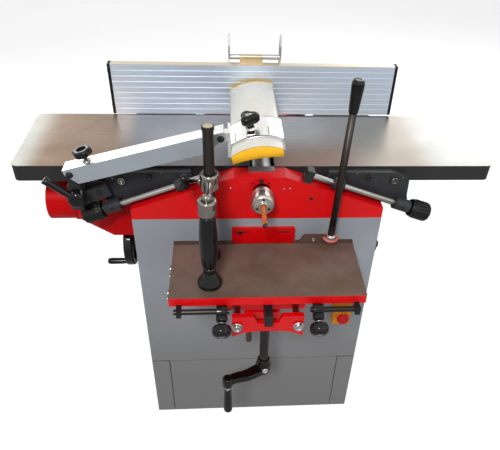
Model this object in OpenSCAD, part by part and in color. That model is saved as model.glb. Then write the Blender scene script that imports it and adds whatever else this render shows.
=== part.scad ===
// Combination planer thicknesser with a slot mortiser on the front.
// Millimetres. X runs to the right along the tables, Y to the back, Z up from the floor.

/* [Planing tables] */
// height of the outfeed table above the floor
table_top = 840; // [800:1:880]
// width of both tables across the grain
table_w = 254; // [230:1:254]
// thickness of the table plate
table_plate = 10; // [8:0.5:12]
// depth of the apron under the plate's top face
apron_h = 38; // [30:1:44]
// thickness of the apron
apron_t = 10; // [8:0.5:12]
// far end of the infeed table from the middle
infeed_end = 537; // [480:1:560]
// far end of the outfeed table from the middle
outfeed_end = 542.5; // [480:1:560]
// clearance from the tables' front edge to the plate over the spindle
table_gap = 3; // [2:0.5:4]
// depth of cut the infeed table stands at
cut_depth = 2; // [0:0.1:3]

/* [Cutterblock] */
// place of the spindle along the machine
spindle_x = 5; // [0:0.5:8]
// diameter of the cutterblock
cutter_d = 75; // [70:0.5:76]
// how far the knives stand proud
knife_out = 1; // [0.6:0.1:1.2]
// distance of each table lip from the spindle axis
lip_gap = 25; // [23:0.5:27]
// radius of the spindle shaft
shaft_r = 15; // [13:0.5:16]
// radius of the chuck
chuck_r = 25.5; // [22:0.5:28]
// radius of the mortising bit
bit_r = 5.5; // [3:0.5:8]

/* [Castings] */
// slope of the table ways
way_angle = 20; // [19:0.5:21]
// half width of the level ledge over the spindle
ledge_half = 57; // [55:0.5:59]
// distance from each casting's outer face to the middle
cast_out = 172; // [170:0.5:174]
// distance from each casting's inner face to the middle
cast_in = 130; // [129:0.5:131]
// wall thickness of the castings
cast_wall = 10; // [8:0.5:12]

/* [Cabinet] */
// half width of the cabinet
cab_half = 288; // [284:1:294]
// back face of the cabinet
cab_back = 228; // [226:0.5:236]
// height of the cabinet top
cab_top = 726; // [722:0.5:728]
// sheet thickness of the cabinet
cab_sheet = 3; // [2:0.5:3]
// radius of the anchor holes
anchor_r = 6; // [4:0.5:8]
// outer radius of the dust outlet
outlet_r = 50; // [40:1:52]

/* [Table adjusters] */
// radius of the adjuster rods
rod_r = 7; // [6:0.25:8]
// radius of the adjuster grips
grip_r = 23; // [18:0.5:24]

/* [Bridge guard] */
// width of the bridge guard
guard_w = 108; // [100:1:112]
// front end of the guard
guard_front = 212; // [205:1:214]
// rear end of the guard
guard_rear = 108; // [90:1:109]
// tilt of the guard at rest
guard_tilt = 10; // [8:0.5:12]
// distance between the two arm pivots
arm_len = 323.7; // [321:0.1:325]

/* [Fence] */
// length of the fence
fence_len = 700; // [500:5:760]
// height of the fence
fence_h = 128; // [110:1:135]
// thickness of the fence
fence_t = 20; // [18:0.5:20]
// front face of the fence at rest
fence_y = 126; // [124:0.5:128]
// how far the fence runs back from where it stands
fence_back = 30; // [10:1:30]

/* [Thicknesser] */
// height of the thicknesser table at rest
bed_z = 640; // [600:1:680]
// radius of the feed rollers
roller_r = 20; // [16:0.5:21]
// radius of the two guide rods
guide_r = 16; // [12:0.5:18]
// radius of the lifting screw
screw_r = 10; // [8:0.5:11]
// radius of the handwheel shaft
wheel_shaft_r = 9; // [7:0.5:10]

/* [Slot mortiser] */
// middle of the mortiser along the machine
mort_x = 12; // [8:0.5:16]
// depth of the mortising table below the spindle axis at rest
mort_drop = 121.5; // [118:0.5:126]
// thickness of the mortising table
mort_plate = 22; // [18:0.5:23]
// radius of the two cross rods that run front to back
yrod_r = 9; // [7:0.5:10]
// radius of the two long rods that run left to right
xrod_r = 8; // [6:0.5:8.5]
// radius of the knee screw
knee_screw_r = 11; // [8:0.5:12]
// radius of the knee guide post
knee_post_r = 7; // [5:0.5:8]
// radius of the work clamp post
post_r = 11; // [9:0.5:12]

/* [Hidden] */
$fn = 48;
run = 0.05;
slide_gap = 0.1;
spindle_z = table_top - cutter_d / 2 - knife_out;
ledge_z = table_top - 3;
mort_top = spindle_z - mort_drop;
lip_cut_r = cutter_d / 2 + knife_out + 3.5;
half_w = table_w / 2;
front_y = -cast_out;
s_end = (cab_half - ledge_half) / cos(way_angle);
slope_z = ledge_z - s_end * sin(way_angle);
s_cut = cut_depth / sin(way_angle);
rod_n = 17;
rod_y = 12 - cast_out;
bracket_t = 18;
pivot_a = [-396, table_top + 22];
arm_angle = 14.95;
pivot_b = [pivot_a[0] + arm_len * cos(arm_angle), pivot_a[1] + arm_len * sin(arm_angle)];
guard_mid = [pivot_b[0] + 76.5, table_top + 65.4];
tilt_y = fence_y + fence_t + 12;
tilt_z = table_top + 10;
wheel_z = 530;
nut_x = spindle_x;
guide_at = [[-140, 70], [150, -70]];
roller_z = spindle_z - 19;
infeed_roller_x = spindle_x + 75;
outfeed_roller_x = spindle_x - 75;
motor_z = 170;
pulley_y = 196;
small_pulley = 20;
big_pulley = 42;
mount_front = front_y - 7;
rail_front = mount_front - 14;
rail_z0 = mort_top - 200;
rail_z1 = mort_top - 30;
knee_z = mort_top - 120;
shelf_z = mort_top - 172;
shelf_h = 14;
screw_at = [mort_x + 2, front_y - 133];
kpost_at = [mort_x - 36, front_y - 128];
knee_front = front_y - 36;
yrod_dx = 66;
yrod_z = mort_top - 78;
xrod_z = mort_top - 50;
xrod_back = front_y - 63;
xrod_front = front_y - 143;
plate_bottom = mort_top - mort_plate;
mt_x0 = mort_x - 207;
mt_x1 = mort_x + 207;
mt_y0 = front_y - 212;
mt_y1 = front_y - 34;
car_x = 88;
stop_y = mt_y0 - 13;
stop_z = plate_bottom - 4;
stop_rod_r = 6;
stop_left_x = mort_x - 98;
stop_right_x = mort_x + 103;
post_at = [mort_x - 119, front_y - 76];
foot_at = [mort_x - 122, front_y - 168];
lever_at = [mort_x + 154, front_y - 33];
button_at = [228, 420];

function way(s, n) = [ledge_half + s * cos(way_angle) + n * sin(way_angle),
    ledge_z - s * sin(way_angle) + n * cos(way_angle)];

// a 2D shape in X and Z drawn out from y0 to y1
module slab_y(y0, y1) {
    translate([0, y1, 0]) rotate([90, 0, 0]) linear_extrude(y1 - y0) children();
}

module bar_x(y, z, r, x0, x1) {
    translate([x0, y, z]) rotate([0, 90, 0]) cylinder(r = r, h = x1 - x0);
}

module bar_y(x, z, r, y0, y1) {
    translate([x, y0, z]) rotate([-90, 0, 0]) cylinder(r = r, h = y1 - y0);
}

module bar_z(x, y, r, z0, z1) {
    translate([x, y, z0]) cylinder(r = r, h = z1 - z0);
}

module block(x0, x1, y0, y1, z0, z1) {
    translate([x0, y0, z0]) cube([x1 - x0, y1 - y0, z1 - z0]);
}

// a rectangle with round corners, exact
module soft_rect(x0, x1, y0, y1, r) {
    translate([x0 + r, y0]) square([x1 - x0 - 2 * r, y1 - y0]);
    translate([x0, y0 + r]) square([x1 - x0, y1 - y0 - 2 * r]);
    for (x = [x0 + r, x1 - r], y = [y0 + r, y1 - r]) translate([x, y]) circle(r);
}

// the right-hand sloping way: X runs down the slope, Z stands off it
module on_way() {
    translate([ledge_half, 0, ledge_z]) rotate([0, way_angle, 0]) children();
}

module left_hand() {
    mirror([1, 0, 0]) children();
}

module infeed_place() {
    translate([s_cut * cos(way_angle), 0, -s_cut * sin(way_angle)]) children();
}

// grey welded stand with open sides for the thicknesser passage
module cabinet() color("#8d9197") {
    difference() {
        union() {
            block(-cab_half, cab_half, front_y, cab_back, 0, cab_sheet);
            for (x = [-cab_half, cab_half - cab_sheet])
                block(x, x + cab_sheet, front_y + cab_sheet, cab_back, 0, cab_top);
            block(-cab_half, cab_half, cab_back - cab_sheet, cab_back, 0, cab_top);
            for (x = [-cab_half, cab_half - 48])
                block(x, x + 48, front_y, front_y + cab_sheet, 0, 231);
            block(-cab_half, cab_half, front_y + cab_sheet, -128, cab_top - 10, cab_top);
            block(-cab_half, cab_half, 128, cast_out, cab_top - 10, cab_top);
            block(-cab_half, cab_half, cast_out, cab_back, cab_top - 3, cab_top);
        }
        for (x = [-240, 240], y = [-120, 180]) bar_z(x, y, anchor_r, -1, cab_sheet + 1);
        block(-cab_half - 1, cab_half + 1, -125, 125, 575, cab_top + 1);
        block(spindle_x - 60, spindle_x + 60, 190, 222, cab_top - 20, cab_top + 1);
        bar_x(0, wheel_z, wheel_shaft_r + run, -cab_half - 1, -cab_half + cab_sheet + 1);
    }
}

module front_panel() color("#8d9197") {
    block(-cab_half, cab_half, front_y, front_y + cab_sheet, 232, cab_top);
}

module access_panel() color("#8d9197") {
    block(-cab_half + 50, cab_half - 50, front_y, front_y + cab_sheet, cab_sheet, 230);
}

// outline of a side casting seen from the front
module casting_outline() {
    polygon([[-cab_half, cab_top], [cab_half, cab_top], [cab_half, slope_z],
        [ledge_half, ledge_z], [-ledge_half, ledge_z], [-cab_half, slope_z]]);
}

module casting_pocket() {
    s1 = (cab_half - 16 - ledge_half + 12 * sin(way_angle)) / cos(way_angle);
    z1 = way(s1, -12)[1];
    polygon([[16 - cab_half, cab_top + 12], [cab_half - 16, cab_top + 12],
        [cab_half - 16, z1], way(0, -12), [-way(0, -12)[0], way(0, -12)[1]],
        [16 - cab_half, z1]]);
}

// one hollow casting on the front side, open towards the cutterblock
module casting_body() {
    difference() {
        union() {
            difference() {
                slab_y(-cast_out, -cast_in) casting_outline();
                slab_y(-cast_out + cast_wall, -cast_in + 1) casting_pocket();
            }
            intersection() {
                slab_y(-cast_out, -cast_in) casting_outline();
                union() {
                    bar_y(spindle_x, spindle_z, 48, -cast_out + 1, -cast_in);
                    for (x = [infeed_roller_x, outfeed_roller_x])
                        bar_y(x, roller_z, 24, -cast_out + 1, -cast_in);
                    for (x = [-200, -130, 140, 210])
                        block(x - 4, x + 4, -cast_out + 1, -cast_in - 6, cab_top, ledge_z);
                }
            }
        }
        bar_y(spindle_x, spindle_z, shaft_r + 5, -cast_out - 1, -cast_in + 1);
        bar_y(spindle_x, spindle_z, shaft_r + 16, -cast_in - 16, -cast_in + 1);
        for (x = [infeed_roller_x, outfeed_roller_x])
            bar_y(x, roller_z, 10 + run, -cast_in - 20, -cast_in + 1);
    }
}

module way_nut() {
    on_way() difference() {
        translate([40, -cast_out, -0.5]) cube([18, 24, 32.5]);
        bar_x(rod_y, rod_n, rod_r + 0.1, 39, 59);
    }
}

module front_casting() color("#d8202a") {
    casting_body();
    way_nut();
    left_hand() way_nut();
}

module rear_casting() color("#d8202a") {
    mirror([0, 1, 0]) casting_body();
}

module spindle_bearings() color("#b9bcc0") {
    for (y = [-cast_in - 16, cast_in]) difference() {
        bar_y(spindle_x, spindle_z, shaft_r + 16, y, y + 16);
        bar_y(spindle_x, spindle_z, shaft_r + 0.02, y - 1, y + 17);
    }
}

module ledge_plate() color("#c8cacc") {
    // clear of the tables' edge and of the cutterblock between the castings
    clear_y = max(cast_in, half_w + table_gap);
    block(spindle_x - 29, spindle_x + 29, -clear_y - 20, -clear_y, ledge_z, table_top + 0.3);
}

module drive_cover() color("#d8202a") {
    difference() {
        block(-130, 140, cast_out, cab_back, cab_top, ledge_z - 4);
        block(-127, 137, cast_out - 1, cab_back - 3, cab_top - 1, ledge_z - 7);
    }
}

module motor() color("#3a3d42") {
    difference() {
        union() {
            bar_y(spindle_x, motor_z, 75, -60, 160);
            for (y = [-40:20:120]) bar_y(spindle_x, motor_z, 79, y, y + 6);
            block(spindle_x - 60, spindle_x + 60, -40, 140, cab_sheet, motor_z - 55);
        }
        bar_y(spindle_x, motor_z, 12 + run, 120, 161);
    }
}

// points of a straight-sided loop round two circles one above the other
function loop_points(r_top, r_low) = let (
    lean = asin((r_low - r_top) / (spindle_z - motor_z)))
    concat([for (k = [0:12]) let (a = lean + k * (180 - 2 * lean) / 12)
            [spindle_x + r_top * cos(a), spindle_z + r_top * sin(a)]],
        [for (k = [0:18]) let (a = 180 - lean + k * (180 + 2 * lean) / 18)
            [spindle_x + r_low * cos(a), motor_z + r_low * sin(a)]]);

module drive_belts() color("#1d1d1f") {
    slab_y(pulley_y + 5.5, pulley_y + 16.5) difference() {
        polygon(loop_points(small_pulley + 7, big_pulley + 7));
        polygon(loop_points(small_pulley + 0.6, big_pulley + 0.9));
    }
}

module pulley(z, r) {
    bar_y(spindle_x, z, r, pulley_y, pulley_y + 22);
    bar_y(spindle_x, z, r + 5, pulley_y, pulley_y + 5);
    bar_y(spindle_x, z, r + 5, pulley_y + 17, pulley_y + 22);
}

module spindle_pulley() color("#6d7075") {
    difference() {
        pulley(spindle_z, small_pulley);
        bar_y(spindle_x, spindle_z, shaft_r, pulley_y - 1, pulley_y + 23);
    }
}

module motor_pulley() color("#6d7075") {
    pulley(motor_z, big_pulley);
    bar_y(spindle_x, motor_z, 12, 122, pulley_y + 1);
}

// outer shape of the dust hood, drawn smaller for its hollow
module hood_shape(t) {
    block(-345 + t, -cab_half - (t > 0 ? -1 : 0), -118 + t, 118 - t, 640 + t, 770 - t);
    hull() {
        block(-346 + t, -345 + t, -118 + t, 118 - t, 640 + t, 770 - t);
        translate([-440, -30, 690]) rotate([0, 90, 0]) cylinder(r = outlet_r - t, h = 1, $fn = 32);
    }
    bar_x(-30, 690, outlet_r - t, -505 - (t > 0 ? 1 : 0), -439);
    if (t == 0) bar_x(-30, 690, outlet_r + 3, -442, -437);
}

module dust_hood() color("#d8202a") {
    difference() {
        union() {
            hood_shape(0);
            block(-cab_half - 4, -cab_half, -140, 140, 620, cab_top);
        }
        hood_shape(3);
    }
}

module switch_box() color("#e8a21c") {
    difference() {
        slab_y(front_y - 20, front_y) soft_rect(203, 251, 386, 450, 4);
        bar_y(button_at[0], button_at[1], 8.1, front_y - 21, front_y - 4);
    }
}

// dovetail section in X and Y, wide at the front, grown by g
module dovetail(g) {
    polygon([[mort_x - 26 - g, mount_front], [mort_x + 26 + g, mount_front],
        [mort_x + 34 + g, rail_front - g], [mort_x - 34 - g, rail_front - g]]);
}

// red bracket on the cabinet front: plate, dovetail rail and nut shelf
module mortiser_mount() color("#d8202a") {
    difference() {
        union() {
            slab_y(mount_front, front_y) soft_rect(mort_x - 74, mort_x + 74, mort_top - 240, mort_top + 23, 4);
            translate([0, 0, rail_z0]) linear_extrude(rail_z1 - rail_z0) dovetail(0);
            block(mort_x - 48, mort_x + 32, screw_at[1] - knee_screw_r - 5, mount_front, shelf_z, shelf_z + shelf_h);
        }
        bar_z(screw_at[0], screw_at[1], knee_screw_r + 0.1, shelf_z - 1, shelf_z + shelf_h + 1);
        bar_z(kpost_at[0], kpost_at[1], knee_post_r + 0.1, shelf_z - 1, shelf_z + shelf_h + 1);
    }
}

module fence_support() color("#4a4d52") {
    block(-58, 58, cast_in + 0.5, 300, ledge_z, ledge_z + 4.5);
    block(-58, 58, cast_out + 1, cab_back, ledge_z - 4, ledge_z);
    block(-58, 58, cab_back, cab_back + 10, 760, ledge_z);
    block(-10, 10, fence_y + fence_t + fence_back + 6, 296, ledge_z + 4.5, ledge_z + 8.5);
}

// cross bed that carries the lifting gear of the thicknesser table
module lift_bed() color("#55585d") {
    difference() {
        union() {
            block(cab_sheet - cab_half, cab_half - cab_sheet, -110, 110, 450, 470);
            for (p = guide_at) bar_z(p[0], p[1], guide_r + 10, 440, 500);
            block(-70, -50, -20, 20, 469, wheel_z + 15);
        }
        for (p = guide_at) bar_z(p[0], p[1], guide_r + run, 439, 501);
        bar_z(nut_x, 0, screw_r + 3, 449, 471);
        bar_x(0, wheel_z, wheel_shaft_r + run, -71, -49);
    }
}

knife_at = [30, 150, 270];

module knife_slots() {
    for (a = knife_at) translate([spindle_x, 0, spindle_z]) rotate([0, -a, 0])
        block(cutter_d / 2 - 19, cutter_d / 2 + knife_out, 3 - cast_in, cast_in - 3, -1.5, 1.5);
}

module cutterblock() color("#aeb1b5") {
    difference() {
        union() {
            bar_y(spindle_x, spindle_z, cutter_d / 2, 3 - cast_in, cast_in - 3);
            bar_y(spindle_x, spindle_z, shaft_r, front_y - 28, pulley_y + 22);
        }
        knife_slots();
    }
}

module knives() color("#d5d7da") {
    knife_slots();
}

module chuck() color("#b4b7bb") {
    difference() {
        union() {
            bar_y(spindle_x, spindle_z, chuck_r, front_y - 52, front_y - 18);
            translate([spindle_x, front_y - 52, spindle_z]) rotate([90, 0, 0])
                rotate_extrude() polygon([[0, -1], [chuck_r - 4, -1], [chuck_r - 4, 0],
                    [chuck_r - 14, 12], [0, 12]]);
        }
        bar_y(spindle_x, spindle_z, shaft_r, front_y - 28, front_y - 17);
        bar_y(spindle_x, spindle_z, bit_r, front_y - 65, front_y - 42);
        for (a = [0, 120, 240]) translate([spindle_x, 0, spindle_z]) rotate([0, a, 0])
            bar_z(0, front_y - 30, 4, chuck_r - 8, chuck_r + 1);
    }
}

module mortise_bit() color("#b5522a") {
    difference() {
        bar_y(spindle_x, spindle_z, bit_r, front_y - 133, front_y - 42);
        for (a = [0, 180]) translate([spindle_x, 0, spindle_z]) rotate([0, a, 0])
            bar_y(bit_r, 0, bit_r * 0.5, front_y - 134, front_y - 72);
    }
}

module feed_roller(x) {
    difference() {
        bar_y(x, roller_z, roller_r, 4 - cast_in, cast_in - 4);
        for (a = [0:45:315]) translate([x, 0, roller_z]) rotate([0, a, 0])
            bar_y(roller_r + 1, 0, 3, -cast_in, cast_in);
    }
    bar_y(x, roller_z, 10, -cast_in - 19, cast_in + 19);
}

module infeed_roller() color("#8a8d91") {
    feed_roller(infeed_roller_x);
}

module outfeed_roller() color("#8a8d91") {
    feed_roller(outfeed_roller_x);
}

// one cast table drawn to the right of the spindle: plate, apron, ribs and lip
module table_body(x0, x1, sx) {
    difference() {
        union() {
            translate([0, 0, table_top - table_plate]) linear_extrude(table_plate) {
                soft_rect(x1 - 80, x1, -half_w, half_w, 15);
                translate([x0, -half_w]) square([x1 - 40 - x0, table_w]);
            }
            translate([0, 0, table_top - apron_h]) linear_extrude(apron_h - 1) difference() {
                soft_rect(x0 + 80, x1, -half_w, half_w, 15);
                soft_rect(x0 + 80 + apron_t, x1 - apron_t, apron_t - half_w, half_w - apron_t, 6);
            }
            for (y = [-half_w, half_w - apron_t])
                block(x0 + 32, x0 + 100, y, y + apron_t, table_top - 20, table_top - 1);
            for (k = [0.3, 0.5, 0.7, 0.88]) {
                x = x0 + 80 + k * (x1 - x0 - 80);
                block(x - 4, x + 4, 1 - half_w, half_w - 1, table_top - apron_h + 6, table_top - 1);
            }
            block(x0 + 82, x1 - 2, -4, 4, table_top - apron_h + 6, table_top - 1);
        }
        bar_y(sx, spindle_z, lip_cut_r, -half_w - 1, half_w + 1);
    }
}

module bracket_2d() {
    polygon([way(90, slide_gap), way(296, slide_gap), way(299, 22), way(289, 38), way(275, 72),
        [336, table_top - 17], [296, table_top - 6], way(90, 30)]);
}

// pair of table brackets that ride the right-hand ways, with rod bosses in front
module bracket_pair() {
    difference() {
        union() {
            slab_y(-half_w - bracket_t, -half_w) bracket_2d();
            slab_y(half_w, half_w + bracket_t) bracket_2d();
            on_way() {
                bar_x(rod_y, rod_n, rod_r + 7, 103, 129);
                block(103, 129, rod_y, -half_w - 2, rod_n - 8, rod_n + 8);
                bar_x(rod_y, rod_n, rod_r + 8, 262, 300);
                block(264, 296, rod_y, -half_w - 2, rod_n - 9, rod_n + 9);
            }
        }
        on_way() bar_x(rod_y, rod_n, rod_r + 0.08, 30, 360);
    }
}

module adjuster_rod() {
    on_way() bar_x(rod_y, rod_n, rod_r, 36, 345);
}

module adjuster_grip() {
    on_way() difference() {
        union() {
            bar_x(rod_y, rod_n, grip_r - 1.5, 303, 352);
            bar_x(rod_y, rod_n, grip_r, 310, 345);
        }
        for (a = [0:30:330]) translate([0, rod_y, rod_n]) rotate([a, 0, 0])
            bar_x(grip_r + 2, 0, 4, 302, 346);
        bar_x(rod_y, rod_n, rod_r, 302, 345);
    }
}

module infeed_table() color("#9fa2a6") {
    infeed_place() table_body(spindle_x + lip_gap, infeed_end, spindle_x);
}

module infeed_brackets() color("#3b3e43") {
    infeed_place() bracket_pair();
}

module infeed_adjuster_rod() color("#c9cbce") {
    infeed_place() adjuster_rod();
}

module infeed_adjuster_grip() color("#1c1c1e") {
    infeed_place() adjuster_grip();
}

module outfeed_table() color("#9fa2a6") {
    left_hand() table_body(lip_gap - spindle_x, outfeed_end, -spindle_x);
}

module outfeed_brackets() color("#3b3e43") {
    left_hand() bracket_pair();
}

module outfeed_adjuster_rod() color("#c9cbce") {
    left_hand() adjuster_rod();
}

module outfeed_adjuster_grip() color("#1c1c1e") {
    left_hand() adjuster_grip();
}

arm_y0 = -cast_out - 28;
arm_y1 = -cast_out + 8;

module guard_carrier() color("#2b2d31") {
    ax = pivot_a[0];
    az = pivot_a[1];
    left_hand() on_way() block(270, 352, -half_w - 36, -half_w - bracket_t, 44, 72);
    block(ax - 13, ax + 13, arm_y0 + 8, -half_w - bracket_t, az - 94, az - 32);
    block(ax - 9, ax + 9, arm_y0 + 8, arm_y1 - 8, az - 33, az);
    bar_y(ax, az, 9, arm_y0 + 8, arm_y1 - 8);
    bar_y(ax, az, 4, arm_y0, arm_y1);
}

module guard_clamp_lever() color("#1c1c1e") {
    hx = pivot_a[0] + 6;
    hz = pivot_a[1] - 56;
    bar_y(hx, hz, 19, arm_y0 - 18, arm_y0 + 8);
    slab_y(arm_y0 - 18, arm_y0 - 4) {
        polygon([[hx - 12, hz - 10], [hx + 6, hz + 14], [hx - 51, hz + 58], [hx - 60, hz + 47]]);
        translate([hx - 56, hz + 53]) circle(8);
    }
}

module on_arm() {
    translate([pivot_a[0], 0, pivot_a[1]]) rotate([0, -arm_angle, 0]) children();
}

module guard_arm() color("#b9bcc0") {
    on_arm() difference() {
        slab_y(arm_y0, arm_y1) {
            polygon([[9, -25], [arm_len - 40, -25], [arm_len - 6, -9], [arm_len + 9, -9],
                [arm_len + 9, 13], [-11, 13], [-11, 3]]);
        }
        block(-20, arm_len + 20, arm_y0 + 3, arm_y1 - 3, -30, 10);
        for (x = [0, arm_len]) bar_y(x, 0, 4 + run, arm_y0 - 1, arm_y1 + 1);
    }
}

module lobes(n, r_mid, r_lobe, r_hub) {
    circle(r_hub);
    for (a = [0:360 / n:359]) rotate(a) translate([r_mid, 0]) circle(r_lobe);
}

module arm_knob() color("#1c1c1e") {
    on_arm() translate([40, (arm_y0 + arm_y1) / 2, 13]) {
        cylinder(r = 9, h = 12);
        translate([0, 0, 12]) linear_extrude(17) lobes(6, 14, 6, 15);
    }
}

module on_guard() {
    translate([guard_mid[0], 0, guard_mid[1]]) rotate([0, -guard_tilt, 0]) children();
}

// arched section of the bridge guard, grown by g
module guard_2d(g) {
    half = guard_w / 2;
    r_top = (half * half + 14 * 14) / 28;
    r_low = (half * half + 5 * 5) / 10;
    difference() {
        intersection() {
            translate([-half - g, -4 - g]) square([guard_w + 2 * g, 60]);
            translate([0, 30 - r_top]) circle(r_top + g);
        }
        translate([0, 5 - r_low]) circle(r_low - g);
    }
}

module guard_saddle() color("#c2c4c7") {
    bx = pivot_b[0];
    bz = pivot_b[1];
    on_guard() {
        slab_y(-180, -88) difference() {
            guard_2d(4.5);
            guard_2d(0.3);
            translate([-28, -20]) square([56, 32]);
        }
        bar_z(-8, -135, 12, 31.5, 38);
    }
    block(bx + 14, bx + 19.8, arm_y0 + 5, -150, guard_mid[1] - 5, bz + 11);
    block(bx, bx + 15, arm_y0 + 8, arm_y1 - 8, bz - 9, bz + 9);
    bar_y(bx, bz, 9, arm_y0 + 8, arm_y1 - 8);
    bar_y(bx, bz, 4, arm_y0, arm_y1);
}

module guard_knob() color("#1c1c1e") {
    on_guard() translate([-8, -135, 38]) {
        cylinder(r = 8, h = 8);
        translate([0, 0, 7]) linear_extrude(22) lobes(3, 14, 9, 15);
    }
}

module bridge_guard() color("#dcdad2") {
    on_guard() slab_y(-guard_front, guard_rear) guard_2d(0);
}

module guard_end_caps() color("#f0b020") {
    on_guard() {
        slab_y(-guard_front - 6, -guard_front) guard_2d(0);
        slab_y(guard_rear, guard_rear + 6) guard_2d(0);
    }
}

module slab_x(x0, x1) {
    translate([x0, 0, 0]) rotate([90, 0, 90]) linear_extrude(x1 - x0) children();
}

module fence_carriage() color("#4a4d52") {
    difference() {
        union() {
            block(-60, 60, tilt_y + 10, 298, ledge_z + 4.5 + slide_gap, ledge_z + 16);
            for (x = [-60, 47]) {
                bar_x(tilt_y, tilt_z, 8, x, x + 13);
                block(x, x + 13, tilt_y - 5, tilt_y + 12, ledge_z + 4.5 + slide_gap, tilt_z);
            }
        }
        block(-10.2, 10.2, 100, 299, ledge_z + 4, ledge_z + 8.8);
        bar_x(tilt_y, tilt_z, 5, -61, 61);
    }
}

module fence() color("#c9ccd0") {
    z0 = table_top + 2;
    slab_x(-fence_len / 2, fence_len / 2) difference() {
        translate([fence_y, z0]) square([fence_t, fence_h]);
        for (k = [1:8]) translate([fence_y - 1, z0 + k * fence_h / 9 - 1]) square([2, 2]);
        for (k = [0.3, 0.7]) translate([0, z0 + k * fence_h]) {
            translate([fence_y + fence_t - 5, -4]) square([6, 8]);
            translate([fence_y + fence_t - 10, -8]) square([6, 16]);
        }
    }
}

module fence_end_caps() color("#1c1c1e") {
    for (x = [-fence_len / 2 - 4, fence_len / 2]) slab_x(x, x + 4)
        soft_rect(fence_y, fence_y + fence_t, table_top + 2, table_top + 2 + fence_h, 2);
}

module fence_brackets() color("#b4b7bb") {
    back = fence_y + fence_t;
    for (x = [-65, 61]) slab_x(x, x + 4) {
        translate([tilt_y, tilt_z]) circle(8);
        polygon([[tilt_y - 6, tilt_z], [back, tilt_z + 26], [back, tilt_z + 160], [back + 8, tilt_z + 185],
            [back + 14, tilt_z + 185], [back + 29, tilt_z + 150], [back + 29, tilt_z + 50],
            [tilt_y + 6, tilt_z]]);
    }
    for (x = [-61, 47]) bar_x(tilt_y, tilt_z, 4.95, x, x + 14);
    bar_x(back + 12, table_top + fence_h + 12, 6, -63, 63);
    block(-36, 19, back, back + 24, table_top + fence_h - 16, table_top + fence_h + 12);
}

module thicknesser_table() color("#a3a6aa") {
    x0 = spindle_x - 240;
    x1 = spindle_x + 240;
    y1 = half_w - 4;
    slab_x(x0, x1) translate([0, bed_z]) polygon([[-y1, 0], [-y1, -20], [8 - y1, -20], [8 - y1, -12],
        [-42, -12], [-42, -18], [-34, -18], [-34, -12], [34, -12], [34, -18], [42, -18], [42, -12],
        [y1 - 8, -12], [y1 - 8, -20], [y1, -20], [y1, 0]]);
    for (p = guide_at) {
        bar_z(p[0], p[1], guide_r, bed_z - 268, bed_z - 11);
        bar_z(p[0], p[1], guide_r + 8, bed_z - 22, bed_z - 10);
    }
    bar_z(nut_x, 0, screw_r, bed_z - 268, bed_z - 11);
}

module lift_nut() color("#8f7a3a") {
    difference() {
        union() {
            bar_z(nut_x, 0, 20, 470, 501);
            bar_z(nut_x, 0, 44, 500, wheel_z - 13.4);
        }
        bar_z(nut_x, 0, screw_r + run, 469, wheel_z);
        for (a = [0:20:340]) translate([nut_x, 0, 0]) rotate([0, 0, a])
            block(32, 46, -2, 2, wheel_z - 17, wheel_z);
    }
}

module handwheel() color("#1c1c1e") {
    translate([-332, 0, wheel_z]) rotate([0, 90, 0]) rotate_extrude() translate([58, 0]) circle(7);
    bar_x(0, wheel_z, 20, -342, -318);
    for (a = [0, 120, 240]) translate([0, 0, wheel_z]) rotate([a, 0, 0]) block(-336, -328, -7, 7, 12, 56);
    bar_x(0, wheel_z, wheel_shaft_r, -320, nut_x - 31);
    bar_x(0, wheel_z, 13, nut_x - 51, nut_x - 31);
    bar_x(-50, wheel_z - 30, 7, -386, -331);
    translate([-386, -50, wheel_z - 30]) sphere(10);
}

// knee of the mortiser: dovetail block, forward arm and front end plate
module knee() color("#d8202a") {
    difference() {
        union() {
            block(mort_x - 80, mort_x + 80, knee_front, mount_front, knee_z, knee_z + 85);
            block(mort_x - 48, mort_x + 32, screw_at[1] - 25, knee_front + 1, knee_z, knee_z + 20);
            slab_y(front_y - 220, front_y - 208) translate([mort_x, yrod_z])
                polygon([[-77, -32], [-50, -19], [-20, -15], [20, -15], [50, -19], [77, -32],
                    [77, 28], [30, 28], [22, 8], [-22, 8], [-30, 28], [-77, 28]]);
        }
        translate([0, 0, knee_z - 10]) linear_extrude(110) dovetail(0.2);
        for (x = [mort_x - yrod_dx, mort_x + yrod_dx])
            bar_y(x, yrod_z, yrod_r, front_y - 221, front_y - 18);
        bar_z(screw_at[0], screw_at[1], 6 + run, knee_z - 1, knee_z + 21);
        bar_z(kpost_at[0], kpost_at[1], knee_post_r, knee_z - 1, knee_z + 21);
    }
}

// the two cross rods and the post that keeps the knee square to its shelf
module knee_rods() color("#c9cbce") {
    for (x = [mort_x - yrod_dx, mort_x + yrod_dx])
        bar_y(x, yrod_z, yrod_r, front_y - 223, front_y - 18);
    bar_z(kpost_at[0], kpost_at[1], knee_post_r, knee_z - 105, knee_z + 20);
}

// vertical screw of the knee with its cranked arm
module knee_screw() color("#1f2023") {
    translate([screw_at[0], screw_at[1], knee_z]) {
        bar_z(0, 0, 6, -5, 18);
        bar_z(0, 0, knee_screw_r, -180, 0);
        bar_z(0, 0, 19, -210, -166);
        difference() {
            union() {
                translate([0, 0, -214]) linear_extrude(20) {
                    polygon([[-2, 17], [-38, -4], [-60, -12], [-88, -26], [-92, -54], [-62, -44], [-30, -38],
                        [4, -18]]);
                    translate([-90, -40]) circle(14);
                }
                bar_z(-90, -40, 14, -222, -190);
            }
            bar_z(-90, -40, 5 + run, -223, -198);
        }
    }
}

module crank_handle() color("#1c1c1e") {
    translate([screw_at[0] - 90, screw_at[1] - 40, knee_z]) {
        bar_z(0, 0, 5, -230, -200);
        translate([0, 0, -322]) rotate_extrude()
            polygon([[0, 0], [9, 0], [11, 3], [11.5, 30], [9.5, 95], [7, 100], [0, 100]]);
    }
}

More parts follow.
